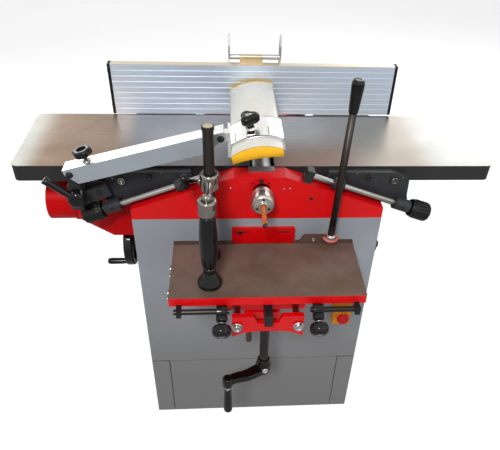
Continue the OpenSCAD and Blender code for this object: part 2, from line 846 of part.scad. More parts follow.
// carriage that runs front to back on the knee rods and carries the long rods
module cross_carriage() color("#d8202a") {
    difference() {
        union() {
            block(mort_x - car_x, mort_x + car_x, xrod_front - 14, xrod_back + 14, yrod_z - 14, yrod_z + 14);
            for (y = [xrod_front, xrod_back])
                block(mort_x - car_x, mort_x + car_x, y - 14, y + 14, yrod_z - 14, xrod_z + 15);
            block(mort_x - 9, mort_x + 9, stop_y - 10, xrod_front - 13, yrod_z + 14, stop_z - stop_rod_r - 2);
        }
        for (x = [mort_x - yrod_dx, mort_x + yrod_dx])
            bar_y(x, yrod_z, yrod_r + run, xrod_front - 20, xrod_back + 20);
        for (y = [xrod_front, xrod_back])
            bar_x(y, xrod_z, xrod_r + run, mort_x - car_x - 1, mort_x + car_x + 1);
        block(mort_x - 34, mort_x + 34, xrod_front + 20, xrod_back - 20, yrod_z - 20, yrod_z + 20);
    }
}

module mortise_table() color("#a89a8e") {
    difference() {
        union() {
            translate([0, 0, plate_bottom]) linear_extrude(mort_plate)
                soft_rect(mt_x0, mt_x1, mt_y0, mt_y1, 3);
            for (x = [mt_x0, mort_x + 72])
                block(x, x + 135, mt_y1 - 1, mt_y1 + 7, plate_bottom + 6, mort_top + 4);
            slab_y(mt_y1 - 1, mt_y1 + 7) translate([lever_at[0] - 34, mort_top - 4]) circle(20);
            bar_z(lever_at[0], lever_at[1], 16, plate_bottom + 4, mort_top + 12);
            for (x = [mt_x0, mt_x1 - 16], y = [xrod_front, xrod_back])
                block(x, x + 16, y - 14, y + 14, xrod_z - 15, plate_bottom + 1);
            for (x = [mt_x0 + 16, mt_x1 - 26])
                block(x, x + 10, stop_y - 9, mt_y0 + 9, stop_z - 9, plate_bottom + 5);
        }
        for (y = [xrod_front, xrod_back])
            bar_x(y, xrod_z, xrod_r, mt_x0 - 1, mt_x1 + 1);
        bar_x(stop_y, stop_z, stop_rod_r, mt_x0, mt_x1);
        bar_z(lever_at[0], lever_at[1], 8, mort_top - 8, mort_top + 13);
    }
}

// long rods and stop rod, all carried by the mortising table
module table_rods() color("#c9cbce") {
    for (y = [xrod_front, xrod_back]) bar_x(y, xrod_z, xrod_r, mt_x0 - 9, mt_x1 + 4);
    bar_x(stop_y, stop_z, stop_rod_r, mt_x0 + 10, stop_left_x + 16);
    bar_x(stop_y, stop_z, stop_rod_r, stop_right_x - 16, mt_x1 - 14);
}

module table_lever() color("#1f2023") {
    bar_z(lever_at[0], lever_at[1], 8, mort_top - 8, mort_top + 14);
    bar_z(lever_at[0], lever_at[1], 12, mort_top + 12, mort_top + 24);
    translate([lever_at[0], lever_at[1], mort_top + 18]) rotate([0, 2.2, 0]) {
        cylinder(r = 8, h = 330);
        translate([0, 0, 312]) rotate_extrude()
            polygon([[0, 0], [9.5, 0], [11, 6], [13, 60], [11, 66], [0, 66]]);
    }
}

module clamp_post() color("#1f2023") {
    bar_z(post_at[0], post_at[1], 20, mort_top, mort_top + 10);
    bar_z(post_at[0], post_at[1], post_r, mort_top + 9, mort_top + 312);
    bar_z(post_at[0], post_at[1], post_r + 1.5, mort_top + 312, mort_top + 320);
}

// bright cast arm that slides on the post and holds the pressure screw
module clamp_arm() color("#9a9da2") {
    z0 = mort_top + 178;
    difference() {
        union() {
            bar_z(post_at[0], post_at[1], 20, z0, z0 + 38);
            bar_z(foot_at[0], foot_at[1], 19, z0 + 2, z0 + 36);
            block(post_at[0] - 11, post_at[0] + 9, foot_at[1], post_at[1], z0 + 6, z0 + 32);
            bar_x(post_at[1], z0 + 19, 4, post_at[0] - 44, post_at[0] - 18);
            slab_x(post_at[0] - 58, post_at[0] - 40) translate([post_at[1], z0 + 19]) lobes(3, 11, 8, 12);
        }
        bar_z(post_at[0], post_at[1], post_r + run, z0 - 1, z0 + 39);
        bar_z(foot_at[0], foot_at[1], 10 + run, z0, z0 + 38);
    }
}

// pressure screw, black sleeve and cone foot of the work clamp
module clamp_foot() color("#1c1c1e") {
    bar_z(foot_at[0], foot_at[1], 10, mort_top + 170, mort_top + 226);
    translate([foot_at[0], foot_at[1], mort_top]) rotate_extrude()
        polygon([[0, 0], [23, 0], [24, 3], [24, 10], [13, 32], [13, 44], [16, 50], [16, 176],
            [13, 179], [0, 179]]);
}

// split collar with a knob, clamped on the stop rod
module travel_stop(x) {
    translate([x, stop_y, stop_z]) difference() {
        rotate([-60, 0, 0]) {
            bar_z(0, 0, 11.5, -22, 6);
            bar_z(0, 0, 6, -31, -21);
            translate([0, 0, -50]) rotate_extrude()
                polygon([[0, 0], [15, 0], [19, 4], [19, 14], [14, 20], [0, 20]]);
        }
        bar_x(0, 0, stop_rod_r + run, -20, 20);
    }
}

module left_stop() color("#1c1c1e") {
    travel_stop(stop_left_x);
}

module right_stop() color("#1c1c1e") {
    travel_stop(stop_right_x);
}

module stop_button() color("#d01f24") {
    bar_y(button_at[0], button_at[1], 8, front_y - 27, front_y - 11);
    bar_y(button_at[0], button_at[1], 16, front_y - 40, front_y - 26);
}

cabinet();
front_panel();
access_panel();
front_casting();
rear_casting();
spindle_bearings();
ledge_plate();
drive_cover();
motor();
drive_belts();
dust_hood();
switch_box();
mortiser_mount();
fence_support();
lift_bed();
cutterblock();
knives();
chuck();
mortise_bit();
spindle_pulley();
motor_pulley();
infeed_roller();
outfeed_roller();
infeed_table();
infeed_brackets();
infeed_adjuster_rod();
infeed_adjuster_grip();
outfeed_table();
outfeed_brackets();
outfeed_adjuster_rod();
outfeed_adjuster_grip();
guard_carrier();
guard_clamp_lever();
guard_arm();
arm_knob();
guard_saddle();
guard_knob();
bridge_guard();
guard_end_caps();
fence_carriage();
fence();
fence_end_caps();
fence_brackets();
thicknesser_table();
lift_nut();
handwheel();
knee();
knee_rods();
knee_screw();
crank_handle();
cross_carriage();
mortise_table();
table_rods();
table_lever();
clamp_post();
clamp_arm();
clamp_foot();
left_stop();
right_stop();
stop_button();
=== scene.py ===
import math

import bpy
import numpy as np
from mathutils import Matrix


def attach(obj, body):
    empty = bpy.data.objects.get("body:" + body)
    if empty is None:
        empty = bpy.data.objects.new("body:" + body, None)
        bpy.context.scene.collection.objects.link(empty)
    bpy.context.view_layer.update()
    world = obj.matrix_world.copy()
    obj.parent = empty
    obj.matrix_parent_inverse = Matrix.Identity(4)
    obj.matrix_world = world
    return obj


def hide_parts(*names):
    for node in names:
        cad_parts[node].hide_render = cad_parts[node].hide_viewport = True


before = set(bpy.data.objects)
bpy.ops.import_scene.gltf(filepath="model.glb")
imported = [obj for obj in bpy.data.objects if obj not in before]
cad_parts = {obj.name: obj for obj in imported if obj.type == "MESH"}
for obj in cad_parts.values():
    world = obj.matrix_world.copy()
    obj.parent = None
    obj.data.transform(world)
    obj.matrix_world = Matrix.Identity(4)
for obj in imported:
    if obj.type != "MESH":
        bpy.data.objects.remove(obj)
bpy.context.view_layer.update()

bl_info = {
    "name": "Planer Thicknesser Dressing",
    "version": (1, 0, 0),
    "blender": (4, 5, 0),
    "location": "View3D > Sidebar > Planer",
    "description": "Dresses the packed planer thicknesser with finishes, fasteners, knobs and a studio",
    "category": "Object",
}

MM = 0.001
TURN = 2 * math.pi
POLE = 0.2  # radius at which a turned profile is closed
LEFT, FRONT, UP = (-1, 0, 0), (0, -1, 0), (0, 0, 1)
WORLD = np.zeros(3), np.eye(3)

# The machine's own sizes, in millimetres and radians.
WAY_ANGLE = math.radians(20)
LEDGE_HALF, LEDGE_Z = 57, 837
INFEED_SHIFT = 2 / math.sin(WAY_ANGLE)
FACE_Y = -172  # front face of the castings and the cabinet
SPINDLE_X, SPINDLE_Z = 5, 801.5
GUARD_TILT = math.radians(10)
ARM_ANGLE = math.radians(14.95)
ARM_PIVOT = np.array([-396.0, 0.0, 862.0])
ARM_TIP = ARM_PIVOT + 323.7 * np.array([math.cos(ARM_ANGLE), 0, math.sin(ARM_ANGLE)])
GUARD_MID = np.array([ARM_TIP[0] + 76.5, 0, 905.4])
KNEE_SCREW, CRANK_PIN = (14, -305), (-76, -345)
CLAMP_POST, CLAMP_SCREW, CLAMP_Z = (-107, -248), (-110, -340), 877
LEVER_FOOT = 166, -205
STOP_BUTTON = 228, FACE_Y, 420


def unit(vectors):
    """Vectors divided by their lengths."""
    return vectors / np.linalg.norm(vectors, axis=-1, keepdims=True)


def frame_of(origin, axis, up=UP):
    """Origin and a 3 by 3 whose columns are side, up and axis, so local Z points along axis."""
    z = unit(np.asarray(axis, float))
    x = unit(np.cross((0, 1, 0) if abs(np.dot(up, z)) > 0.95 else up, z))
    return np.asarray(origin, float), np.column_stack([x, np.cross(z, x), z])


def upright(x, y, z=0):
    """A place at a point with its axes along the machine's."""
    return np.array([x, y, z], float), np.eye(3)


def leaning(origin, angle):
    """A place whose local X and Z are turned by an angle about the machine's Y."""
    c, s = math.cos(angle), math.sin(angle)
    return origin, np.column_stack([[c, 0, s], [0, 1, 0], [-s, 0, c]])


def put(points, place):
    """Local points carried to a place: origin plus the axes times the point."""
    return place[0] + np.asarray(points, float) @ place[1].T


def guard_place(x=0, y=0, z=0):
    """A place on the tilted guard whose local Z is the guard's normal."""
    return put([x, y, z], leaning(GUARD_MID, GUARD_TILT)), leaning(GUARD_MID, GUARD_TILT)[1]


def way_point(s, y, n, hand, shift):
    """A point on a sloping way: s down the slope, y across, n off it; hand -1 is the outfeed side."""
    c, d = math.cos(WAY_ANGLE), math.sin(WAY_ANGLE)
    return np.array([hand * (LEDGE_HALF + (s + shift) * c + n * d), y, LEDGE_Z - (s + shift) * d + n * c])


def circle(count):
    """Angles of a full turn as one row."""
    return np.linspace(0, TURN, count, endpoint=False)[None, :]


def swept(radius, angle, height):
    """Points at radius, angle and height, spread to one grid of rows and columns."""
    return np.stack(np.broadcast_arrays(radius * np.cos(angle), radius * np.sin(angle), height), axis=-1)


def squared(wave, power):
    """A sine or cosine raised to a power below one, its sign kept, which squares off a circle."""
    return np.sign(wave) * np.abs(wave) ** power


def fillet(corners, radius, steps=4):
    """Polyline with each inner corner swapped for a quadratic curve that starts radius before it."""
    p = np.asarray(corners, float)
    at = p[1:-1]
    ends = []
    for way in (p[:-2] - at, p[2:] - at):
        length = np.linalg.norm(way, axis=1, keepdims=True)
        ends.append((at + way / length * np.minimum(radius, 0.45 * length))[:, None])
    t = np.linspace(0, 1, steps + 1)[None, :, None]
    curve = (1 - t) ** 2 * ends[0] + 2 * t * (1 - t) * at[:, None] + t ** 2 * ends[1]
    return np.vstack([p[:1], curve.reshape(-1, p.shape[1]), p[-1:]])


def grid_faces(rows, cols, closed=False):
    """Quads between neighbouring rings of a grid; closed joins the last ring to the first."""
    i, j = np.meshgrid(np.arange(rows if closed else rows - 1), np.arange(cols), indexing="ij")
    u, v = (i + 1) % rows, (j + 1) % cols
    return np.stack([i * cols + j, i * cols + v, u * cols + v, u * cols + j], axis=-1).reshape(-1, 4).tolist()


def polygon(sides):
    """Radius factor that turns a circle into a regular polygon."""
    return lambda a, h: np.cos(math.pi / sides) / np.cos(a % (TURN / sides) - math.pi / sides)


def lobed(count, depth, start=0):
    """Radius factor of a lobed knob: one less depth times a raised cosine between the lobes."""
    return lambda a, h: 1 - depth * (0.5 - 0.5 * np.cos(count * (a - start))) ** 1.3


class Shape:
    """Points and faces of one piece in millimetres; each method appends a form worked out as whole arrays."""

    def __init__(self):
        self.points, self.faces, self.smooth, self.count = [], [], [], 0

    def add(self, points, faces, place=WORLD, smooth=True):
        """Appends points (n, 3) at a place and faces (lists of indices into them)."""
        self.points.append(put(points, place))
        self.faces.extend([[i + self.count for i in f] for f in faces])
        self.smooth.extend([smooth] * len(faces))
        self.count += len(points)
        return self

    def skin(self, rows, place=WORLD):
        """Closed skin over a stack of rings (rows, cols, 3), with a fan of triangles at each end."""
        n, m = rows.shape[:2]
        points = np.vstack([rows.reshape(-1, 3), rows[0].mean(axis=0)[None], rows[-1].mean(axis=0)[None]])
        j = np.arange(m)
        k = (j + 1) % m
        foot = np.stack([k, j, np.full(m, n * m)], axis=-1).tolist()
        cap = np.stack([(n - 1) * m + j, (n - 1) * m + k, np.full(m, n * m + 1)], axis=-1).tolist()
        return self.add(points, grid_faces(n, m) + foot + cap, place)

    def turned(self, profile, place, segments=40, radius=0, steps=4, wave=None):
        """Profile (radius, height) turned about local Z, its corners rounded by radius.

        A profile that stops short of the axis is closed there; wave(angle, height) multiplies its radius.
        """
        p = np.asarray(profile, float)
        if p[0, 0] > POLE:
            p = np.vstack([[POLE, p[0, 1]], p])
        if p[-1, 0] > POLE:
            p = np.vstack([p, [POLE, p[-1, 1]]])
        if radius:
            p = fillet(p, radius, steps)
        r, h, a = p[:, :1], p[:, 1:], circle(segments)
        return self.skin(swept(r * wave(a, h) if wave else r, a, h), place)

    def hoop(self, loop, place, segments=40, radius=0):
        """Ring: a closed loop of (radius, height), turning left, carried round local Z."""
        p = np.asarray(loop, float)
        if radius:
            p = fillet(np.vstack([p[-1:], p, p[:1]]), radius, 3)[1:-1]
        points = swept(p[:, :1], circle(segments), p[:, 1:]).reshape(-1, 3)
        return self.add(points, grid_faces(len(p), segments, True), place)

    def plate(self, outline, thick, place):
        """Flat prism: outline (n, 2), turning left, drawn out along local Z by thick."""
        n = len(outline)
        points = np.vstack([np.column_stack([outline, np.full(n, h)]) for h in (0, thick)])
        ends = [list(range(n))[::-1], list(range(n, 2 * n))]
        return self.add(points, grid_faces(2, n) + ends, place, False)

    def tube(self, path, radius, segments=16):
        """Round bar along a path: each ring is the path point plus radius times two normals."""
        p = np.asarray(path, float)
        t = unit(np.gradient(p, axis=0))
        side = unit(np.cross(t, (0, 1, 0) if abs(t[0, 1]) < 0.9 else (1, 0, 0)))
        a = circle(segments)[..., None]
        r = np.broadcast_to(radius, len(p))[:, None, None]
        over = np.cross(side, t)
        return self.skin(p[:, None] + r * (np.cos(a) * over[:, None] + np.sin(a) * side[:, None]))

    def soft_box(self, low, high, radius=2, power=0.18, place=WORLD):
        """Rounded block: rings of a squared-off circle, drawn in at both ends by radius."""
        low, high = np.array(low, float), np.array(high, float)
        half, middle = (high - low) / 2, (high + low) / 2
        a, t = circle(48), np.linspace(0, math.pi / 2, 5)
        rise = radius * (1 - np.sin(t[::-1]))
        inset = radius * (1 - np.cos(t[::-1]))
        h = np.concatenate([rise - half[2], half[2] - rise[::-1]])[:, None]
        inset = np.concatenate([inset, inset[::-1]])[:, None]
        return self.skin(np.stack(np.broadcast_arrays(
            middle[0] + (half[0] - inset) * squared(np.cos(a), power),
            middle[1] + (half[1] - inset) * squared(np.sin(a), power), middle[2] + h), axis=-1), place)

    def cap_screw(self, place, radius=5, height=4, sides=6):
        """Screw head: a lathe with a rounded rim whose top sinks into a socket of so many sides."""
        well, floor = 0.55 * radius, 0.45 * height

        def socketed(a, h):
            return np.where(np.arange(len(h))[:, None] > 0.62 * len(h), polygon(sides)(a, h), 1)

        return self.turned([[radius, 0], [radius, height], [well, height], [well, floor]], place, 36,
                           0.18 * radius, 2, socketed)

    def hex_head(self, place, radius=6, height=5):
        """Washer and a six-sided bolt head with a chamfered top."""
        self.turned([[1.45 * radius, 0], [1.45 * radius, 1.2]], place, 28)
        return self.turned([[radius, 1.2], [radius, height - 0.8], [0.86 * radius, height]], place, 36,
                           wave=polygon(6))

    def build(self, name, finish, body, slot, node=None, bevel=0):
        """Makes the mesh in metres at the origin and gives it its body and the node it replaces; the slot is
        not used.
        """
        mesh = bpy.data.meshes.new(name)
        mesh.from_pydata((np.vstack(self.points) * MM).tolist(), [], self.faces)
        mesh.polygons.foreach_set("use_smooth", np.array(self.smooth, bool))
        mesh.validate()
        mesh.update()
        piece = bpy.data.objects.new(name, mesh)
        bpy.context.scene.collection.objects.link(piece)
        mesh.materials.append(FINISH[finish])
        if bevel:
            cut = piece.modifiers.new("edge", "BEVEL")
            cut.width = bevel
            cut.segments = 2
            cut.limit_method = "ANGLE"
            cut.angle_limit = math.radians(40)
            cut.harden_normals = True
        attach(piece, body)
        if node:
            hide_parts(node)


# Finishes: shared effects are node groups, and each material keeps its own shader.

GROUPS, FINISH = {}, {}
COLOR, FLOAT, VECTOR = "NodeSocketColor", "NodeSocketFloat", "NodeSocketVector"
GREY = (0.5, 0.5, 0.5, 1)


def screen(red, green, blue):
    """Screen colour from 0 to 255 as shares of one."""
    return red / 255, green / 255, blue / 255


def tone(color):
    """Linear red, green, blue and alpha of a screen colour from 0 to 255, or of the setting so named."""
    c = np.array(getattr(bpy.context.scene.planer, color) if isinstance(color, str) else screen(*color))
    c = np.where(c <= 0.04045, c / 12.92, ((c + 0.055) / 1.055) ** 2.4)
    return (*[float(v) for v in c], 1.0)


def feed(tree, sockets, values):
    """Links or sets sockets by place or name; underscores in names stand for spaces."""
    for key, value in values.items():
        socket = sockets[key.replace("_", " ") if isinstance(key, str) else key]
        if isinstance(value, bpy.types.NodeSocket):
            tree.links.new(value, socket)
        else:
            socket.default_value = value


def add_node(tree, kind, inputs=(), **settings):
    """Adds a shader node with its settings and inputs, and returns its outputs."""
    made = tree.nodes.new("ShaderNode" + kind)
    for key, value in settings.items():
        setattr(made, key, value)
    feed(tree, made.inputs, dict(inputs))
    return made.outputs


def calc(tree, operation, *values):
    """One step of arithmetic."""
    return add_node(tree, "Math", enumerate(values), operation=operation)[0]


def blend(tree, factor, first, second):
    """Mix of two colours by a factor."""
    return add_node(tree, "Mix", {0: factor, 6: first, 7: second}, data_type="RGBA")[2]


def blend_values(tree, factor, first, second):
    """Mix of two values by a factor."""
    return add_node(tree, "Mix", {0: factor, 2: first, 3: second})[0]


def remap(tree, value, low, high, to_low=0, to_high=1):
    """Smooth clamped map of a value from low..high to to_low..to_high; all may be sockets."""
    return add_node(tree, "MapRange", enumerate((value, low, high, to_low, to_high)),
                    interpolation_type="SMOOTHSTEP")[0]


def object_place(tree):
    """Object coordinates, in metres."""
    return add_node(tree, "TexCoord")["Object"]


def along(tree, axis):
    """Object coordinate along one axis, in metres."""
    return add_node(tree, "SeparateXYZ", {0: object_place(tree)})[axis]


def noise(tree, vector, scale, detail=4, rough=0.55):
    """Noise on a vector; scale may be a socket."""
    return add_node(tree, "TexNoise", dict(Vector=vector, Scale=scale, Detail=detail, Roughness=rough))["Fac"]


def effect_group(name, more):
    """A shader group: two colours, a range of roughness and more values in; colour, roughness, height out."""
    tree = bpy.data.node_groups.new(name, "ShaderNodeTree")
    for kind, label, value in ((COLOR, "Main", GREY), (COLOR, "Second", GREY), (FLOAT, "Smoothest", 0.25),
                               (FLOAT, "Roughest", 0.42), *more):
        tree.interface.new_socket(name=label, in_out="INPUT", socket_type=kind).default_value = value
    for kind, label in ((COLOR, "Color"), (FLOAT, "Roughness"), (FLOAT, "Height")):
        tree.interface.new_socket(name=label, in_out="OUTPUT", socket_type=kind)
    return tree, tree.nodes.new("NodeGroupInput").outputs, tree.nodes.new("NodeGroupOutput").inputs


def painted_group():
    """Sprayed paint: slow clouds of shade, a few pale dust specks and a fine orange peel."""
    tree, given, out = effect_group("painted skin", ((FLOAT, "Cloud Scale", 4), (FLOAT, "Dust", 0.15)))
    place = object_place(tree)
    cloud = noise(tree, place, given["Cloud Scale"], 5)
    base = blend(tree, remap(tree, cloud, 0.3, 0.72), given["Main"], given["Second"])
    speck = calc(tree, "MULTIPLY", remap(tree, noise(tree, place, 900, 2), 0.66, 0.78), given["Dust"])
    feed(tree, out, dict(Color=blend(tree, speck, base, (0.55, 0.53, 0.5, 1)),
                         Roughness=remap(tree, cloud, 0.25, 0.75, given["Smoothest"], given["Roughest"]),
                         Height=noise(tree, place, 420, 2)))
    return tree


def metal_group():
    """Ground metal: thin streaks along the stretch, slow stains and small spots."""
    tree, given, out = effect_group(
        "ground metal", ((VECTOR, "Stretch", (6, 220, 220)), (FLOAT, "Stain Scale", 3)))
    place = object_place(tree)
    pulled = add_node(tree, "VectorMath", {0: place, 1: given["Stretch"]}, operation="MULTIPLY")[0]
    streak = noise(tree, pulled, 1, 6, 0.7)
    stain = noise(tree, place, given["Stain Scale"], 6, 0.6)
    spot = noise(tree, place, 38, 5, 0.65)
    base = blend(tree, remap(tree, stain, 0.32, 0.7), given["Main"], given["Second"])
    lined = blend(tree, remap(tree, streak, 0.3, 0.75, 0, 0.22), base, (0.12, 0.115, 0.11, 1))
    rough = remap(tree, stain, 0.3, 0.75, given["Smoothest"], given["Roughest"])
    feed(tree, out, dict(Color=blend(tree, remap(tree, spot, 0.62, 0.8, 0, 0.3), lined, given["Second"]),
                         Roughness=calc(tree, "MULTIPLY_ADD", streak, 0.16, rough), Height=streak))
    return tree


def moulded_group():
    """Moulded or blacked parts: fine pebble texture with worn, dusty patches."""
    tree, given, out = effect_group("moulded skin", ((FLOAT, "Pebble Scale", 700),))
    place = object_place(tree)
    patch = noise(tree, place, 28)
    feed(tree, out, dict(Color=blend(tree, remap(tree, patch, 0.42, 0.75), given["Main"], given["Second"]),
                         Roughness=remap(tree, patch, 0.3, 0.7, given["Smoothest"], given["Roughest"]),
                         Height=noise(tree, place, given["Pebble Scale"], 2)))
    return tree


def rise(tree, low, high, axis="Z"):
    """Rises smoothly from zero at low to one at high along an object axis, in metres."""
    return remap(tree, along(tree, axis), low, high)


def beyond(tree, axis, limit, sign=1):
    """One where the object coordinate times sign passes the limit, in metres."""
    return calc(tree, "GREATER_THAN", calc(tree, "MULTIPLY", along(tree, axis), sign), limit)


def within(tree, axis, middle, half):
    """One where the object coordinate lies within half of the middle, in metres."""
    return calc(tree, "COMPARE", along(tree, axis), middle, half)


def above_way(tree):
    """One on what stands off the sloping ways: the nut lugs of the castings."""
    normal = (math.sin(WAY_ANGLE), 0, math.cos(WAY_ANGLE))
    size = add_node(tree, "VectorMath", {0: object_place(tree)}, operation="ABSOLUTE")[0]
    height = add_node(tree, "VectorMath", {0: size, 1: normal}, operation="DOT_PRODUCT")["Value"]
    return calc(tree, "GREATER_THAN", height, (LEDGE_HALF * normal[0] + LEDGE_Z * normal[2] + 1.5) * MM)


def start_finish(name, **constants):
    """A material with its Principled shader and constants set on the shader's own sockets."""
    material = FINISH[name] = bpy.data.materials.new(name)
    material.use_nodes = True
    shader = material.node_tree.nodes["Principled BSDF"].inputs
    feed(material.node_tree, shader, dict(Coat_Roughness=0.12, **constants))
    return material.node_tree, shader


def use_group(tree, kind, **values):
    """A group node with its inputs set."""
    node = tree.nodes.new("ShaderNodeGroup")
    node.node_tree = GROUPS[kind]
    feed(tree, node.inputs, values)
    return node.outputs


def wire(tree, shader, color, rough, height, bump, zones):
    """Feeds colour, painted over by each zone (mask, its values, colour), roughness and a bump of height."""
    for mask, values, tint in zones:
        color = blend(tree, mask(tree, *values), color, tone(tint))
    relief = add_node(tree, "Bump", dict(Strength=bump, Distance=0.001, Height=height))["Normal"]
    feed(tree, shader, dict(Base_Color=color, Roughness=rough, Normal=relief))


def skin_finish(name, kind, main, second, smooth, rough, bump, zones=(), metallic=0, coat=0, specular=0.25,
                **values):
    """A material of one shared skin."""
    tree, shader = start_finish(name, Metallic=metallic, Coat_Weight=coat, Specular_IOR_Level=specular)
    skin = use_group(tree, kind, Main=tone(main), Second=tone(second), Smoothest=smooth, Roughest=rough,
                     **values)
    wire(tree, shader, skin["Color"], skin["Roughness"], skin["Height"], bump, zones)


def capped_finish(name, top, ground, side, stretch, stain_scale, shine=1, fades=(), zones=()):
    """A casting ground on its top face, with the given roughness and shine, and painted elsewhere.

    A fade tints the ground face by a rise along an axis: low, high, axis, share and colour; fades paint
    stains, painted highlights and painted shade.
    """
    tree, shader = start_finish(name, Coat_Weight=0, Specular_IOR_Level=0.25)
    metal = use_group(tree, "metal", Main=tone(top[0]), Second=tone(top[1]), Stretch=stretch,
                      Stain_Scale=stain_scale, Smoothest=ground[0], Roughest=ground[1])
    paint = use_group(tree, "paint", Main=tone(side[0]), Second=tone(side[1]), Smoothest=0.3, Roughest=0.45,
                      Dust=0.1)
    facing = add_node(tree, "SeparateXYZ", {0: add_node(tree, "NewGeometry")["Normal"]})["Z"]
    mask = calc(tree, "GREATER_THAN", facing, 0.9)
    color = metal["Color"]
    for low, high, axis, share, tint in fades:
        color = blend(tree, remap(tree, rise(tree, low, high, axis), 0, 1, 0, share), color, tone(tint))
    feed(tree, shader, dict(Metallic=remap(tree, mask, 0, 1, 0, shine)))
    wire(tree, shader, blend(tree, mask, paint["Color"], color),
         blend_values(tree, mask, paint["Roughness"], metal["Roughness"]),
         blend_values(tree, mask, paint["Height"], metal["Height"]), 0.05, zones)


# A colour is a screen colour from 0 to 255, or the name of the setting that holds it.
RED = "casting_red", (210, 9, 14)
STEEL = (190, 189, 186), (142, 138, 132)
APRON = (50, 50, 51), (38, 38, 39)

# Paint: main and shade colour, smoothest and roughest, bump, then dust, cloud scale and other values.
PAINTS = {
    # The grey paint's zone darkens it towards the floor: painted shade, lighter at the top and darker low
    # down.
    "grey paint": ("cabinet_grey", (142, 147, 153), 0.36, 0.5, 0.05,
                   dict(Dust=0.08, Cloud_Scale=3, zones=[(rise, (0.62, 0.14), (128, 127, 127))])),
    "red paint": (*RED, 0.22, 0.36, 0.05, dict(Dust=0.05, Cloud_Scale=5, coat=0.12)),
    "hood paint": ((206, 8, 14), (180, 6, 11), 0.3, 0.44, 0.05,
                   dict(Dust=0.03, Cloud_Scale=5, specular=0.08)),
    "casting paint": (*RED, 0.24, 0.38, 0.05, dict(Dust=0.06, zones=[(above_way, (), (44, 45, 47))])),
    "carriage paint": (*RED, 0.24, 0.38, 0.05,
                       dict(Dust=0.06, zones=[(beyond, ("Y", 0.331, -1), (34, 34, 36))])),
    "dark paint": ((52, 53, 56), (38, 39, 42), 0.4, 0.58, 0.1, dict(Dust=0.12, Cloud_Scale=7)),
    "white board": ("board_white", (230, 227, 216), 0.2, 0.34, 0.03,
                    dict(Dust=0.04, Cloud_Scale=6, coat=0.2)),
    "beige paint": ((200, 190, 162), (184, 172, 144), 0.35, 0.5, 0.05, dict(Dust=0.08, Cloud_Scale=9)),
}

# Metal: bright and stain colour, smoothest and roughest, bump, stretch of the streaks and other values.
METALS = {
    "turned steel": (*STEEL, 0.16, 0.3, 0.05, (30, 260, 260), {}),
    "chuck steel": ((206, 202, 195), (146, 138, 128), 0.2, 0.34, 0.05, (120, 30, 120), {}),
    # Chrome with both colours darkened as painted shade; the work clamp and the brackets' bright screws use
    # it.
    "shade-darkened chrome": ((152, 147, 140), (96, 91, 85), 0.06, 0.16, 0.02, (60, 60, 60), {}),
    "ear iron": ((122, 96, 82), (88, 66, 55), 0.3, 0.45, 0.05, (200, 200, 200), dict(metallic=0.5)),
    "dark steel": ((64, 60, 56), (46, 43, 40), 0.28, 0.44, 0.05, (160, 160, 8), {}),
    "saddle steel": ((246, 246, 243), (232, 231, 226), 0.2, 0.32, 0.05, (200, 6, 200), {}),
    "rod steel": (*STEEL, 0.16, 0.3, 0.05, (30, 260, 260),
                  dict(zones=[(beyond, ("Y", 0.385, -1), (52, 50, 48))])),
    "knee steel": (*STEEL, 0.16, 0.3, 0.05, (260, 30, 260),
                   dict(zones=[(beyond, ("Z", -0.56, -1), (98, 82, 68))])),
    "bright plate": ((214, 214, 216), (170, 168, 165), 0.06, 0.18, 0.02, (60, 60, 60), {}),
    # The zone above z 0.9695 tints the fence's top edge beige as a painted reflection.
    "brushed aluminium": ((228, 241, 255), (208, 224, 244), 0.28, 0.42, 0.06, (3, 420, 420),
                          dict(Stain_Scale=2, metallic=0.82,
                               zones=[(beyond, ("Z", 0.9695), (216, 203, 181))])),
    "bracket steel": ((206, 205, 203), (160, 158, 154), 0.2, 0.34, 0.05, (160, 160, 12),
                      dict(zones=[(within, ("X", -0.0085, 0.0281), (176, 162, 136))])),
    "bronze": ((176, 140, 84), (140, 108, 62), 0.24, 0.4, 0.05, (90, 90, 90), {}),
}

# Moulded: body and worn colour, smoothest and roughest, bump, coat and pebble scale.
MOULDED = {
    "black plastic": ((11, 11, 12), (22, 21, 20), 0.34, 0.5, 0.08, 0, 700),
    "black gloss": ((9, 9, 10), (19, 18, 17), 0.12, 0.26, 0.03, 0.12, 300),
    "black oxide": ((30, 28, 27), (48, 43, 39), 0.3, 0.46, 0.05, 0, 500),
    # blue shadow is the painted shadow line of the saddle's groove.
    "blue shadow": ((62, 70, 92), (40, 46, 62), 0.3, 0.45, 0.03, 0, 700),
    "belt rubber": ((30, 30, 30), (48, 47, 45), 0.5, 0.7, 0.15, 0, 700),
    "yellow plastic": ("cap_yellow", (244, 176, 22), 0.2, 0.32, 0.03, 0.15, 700),
    "orange plastic": ((236, 150, 26), (222, 134, 18), 0.3, 0.45, 0.04, 0, 700),
    "red plastic": ((196, 16, 24), (178, 10, 17), 0.28, 0.42, 0.04, 0, 700),
    "pink plastic": ((206, 120, 116), (186, 96, 92), 0.3, 0.45, 0.03, 0, 700),
    "bit orange": ((206, 104, 40), (150, 70, 26), 0.28, 0.44, 0.05, 0, 700),
}

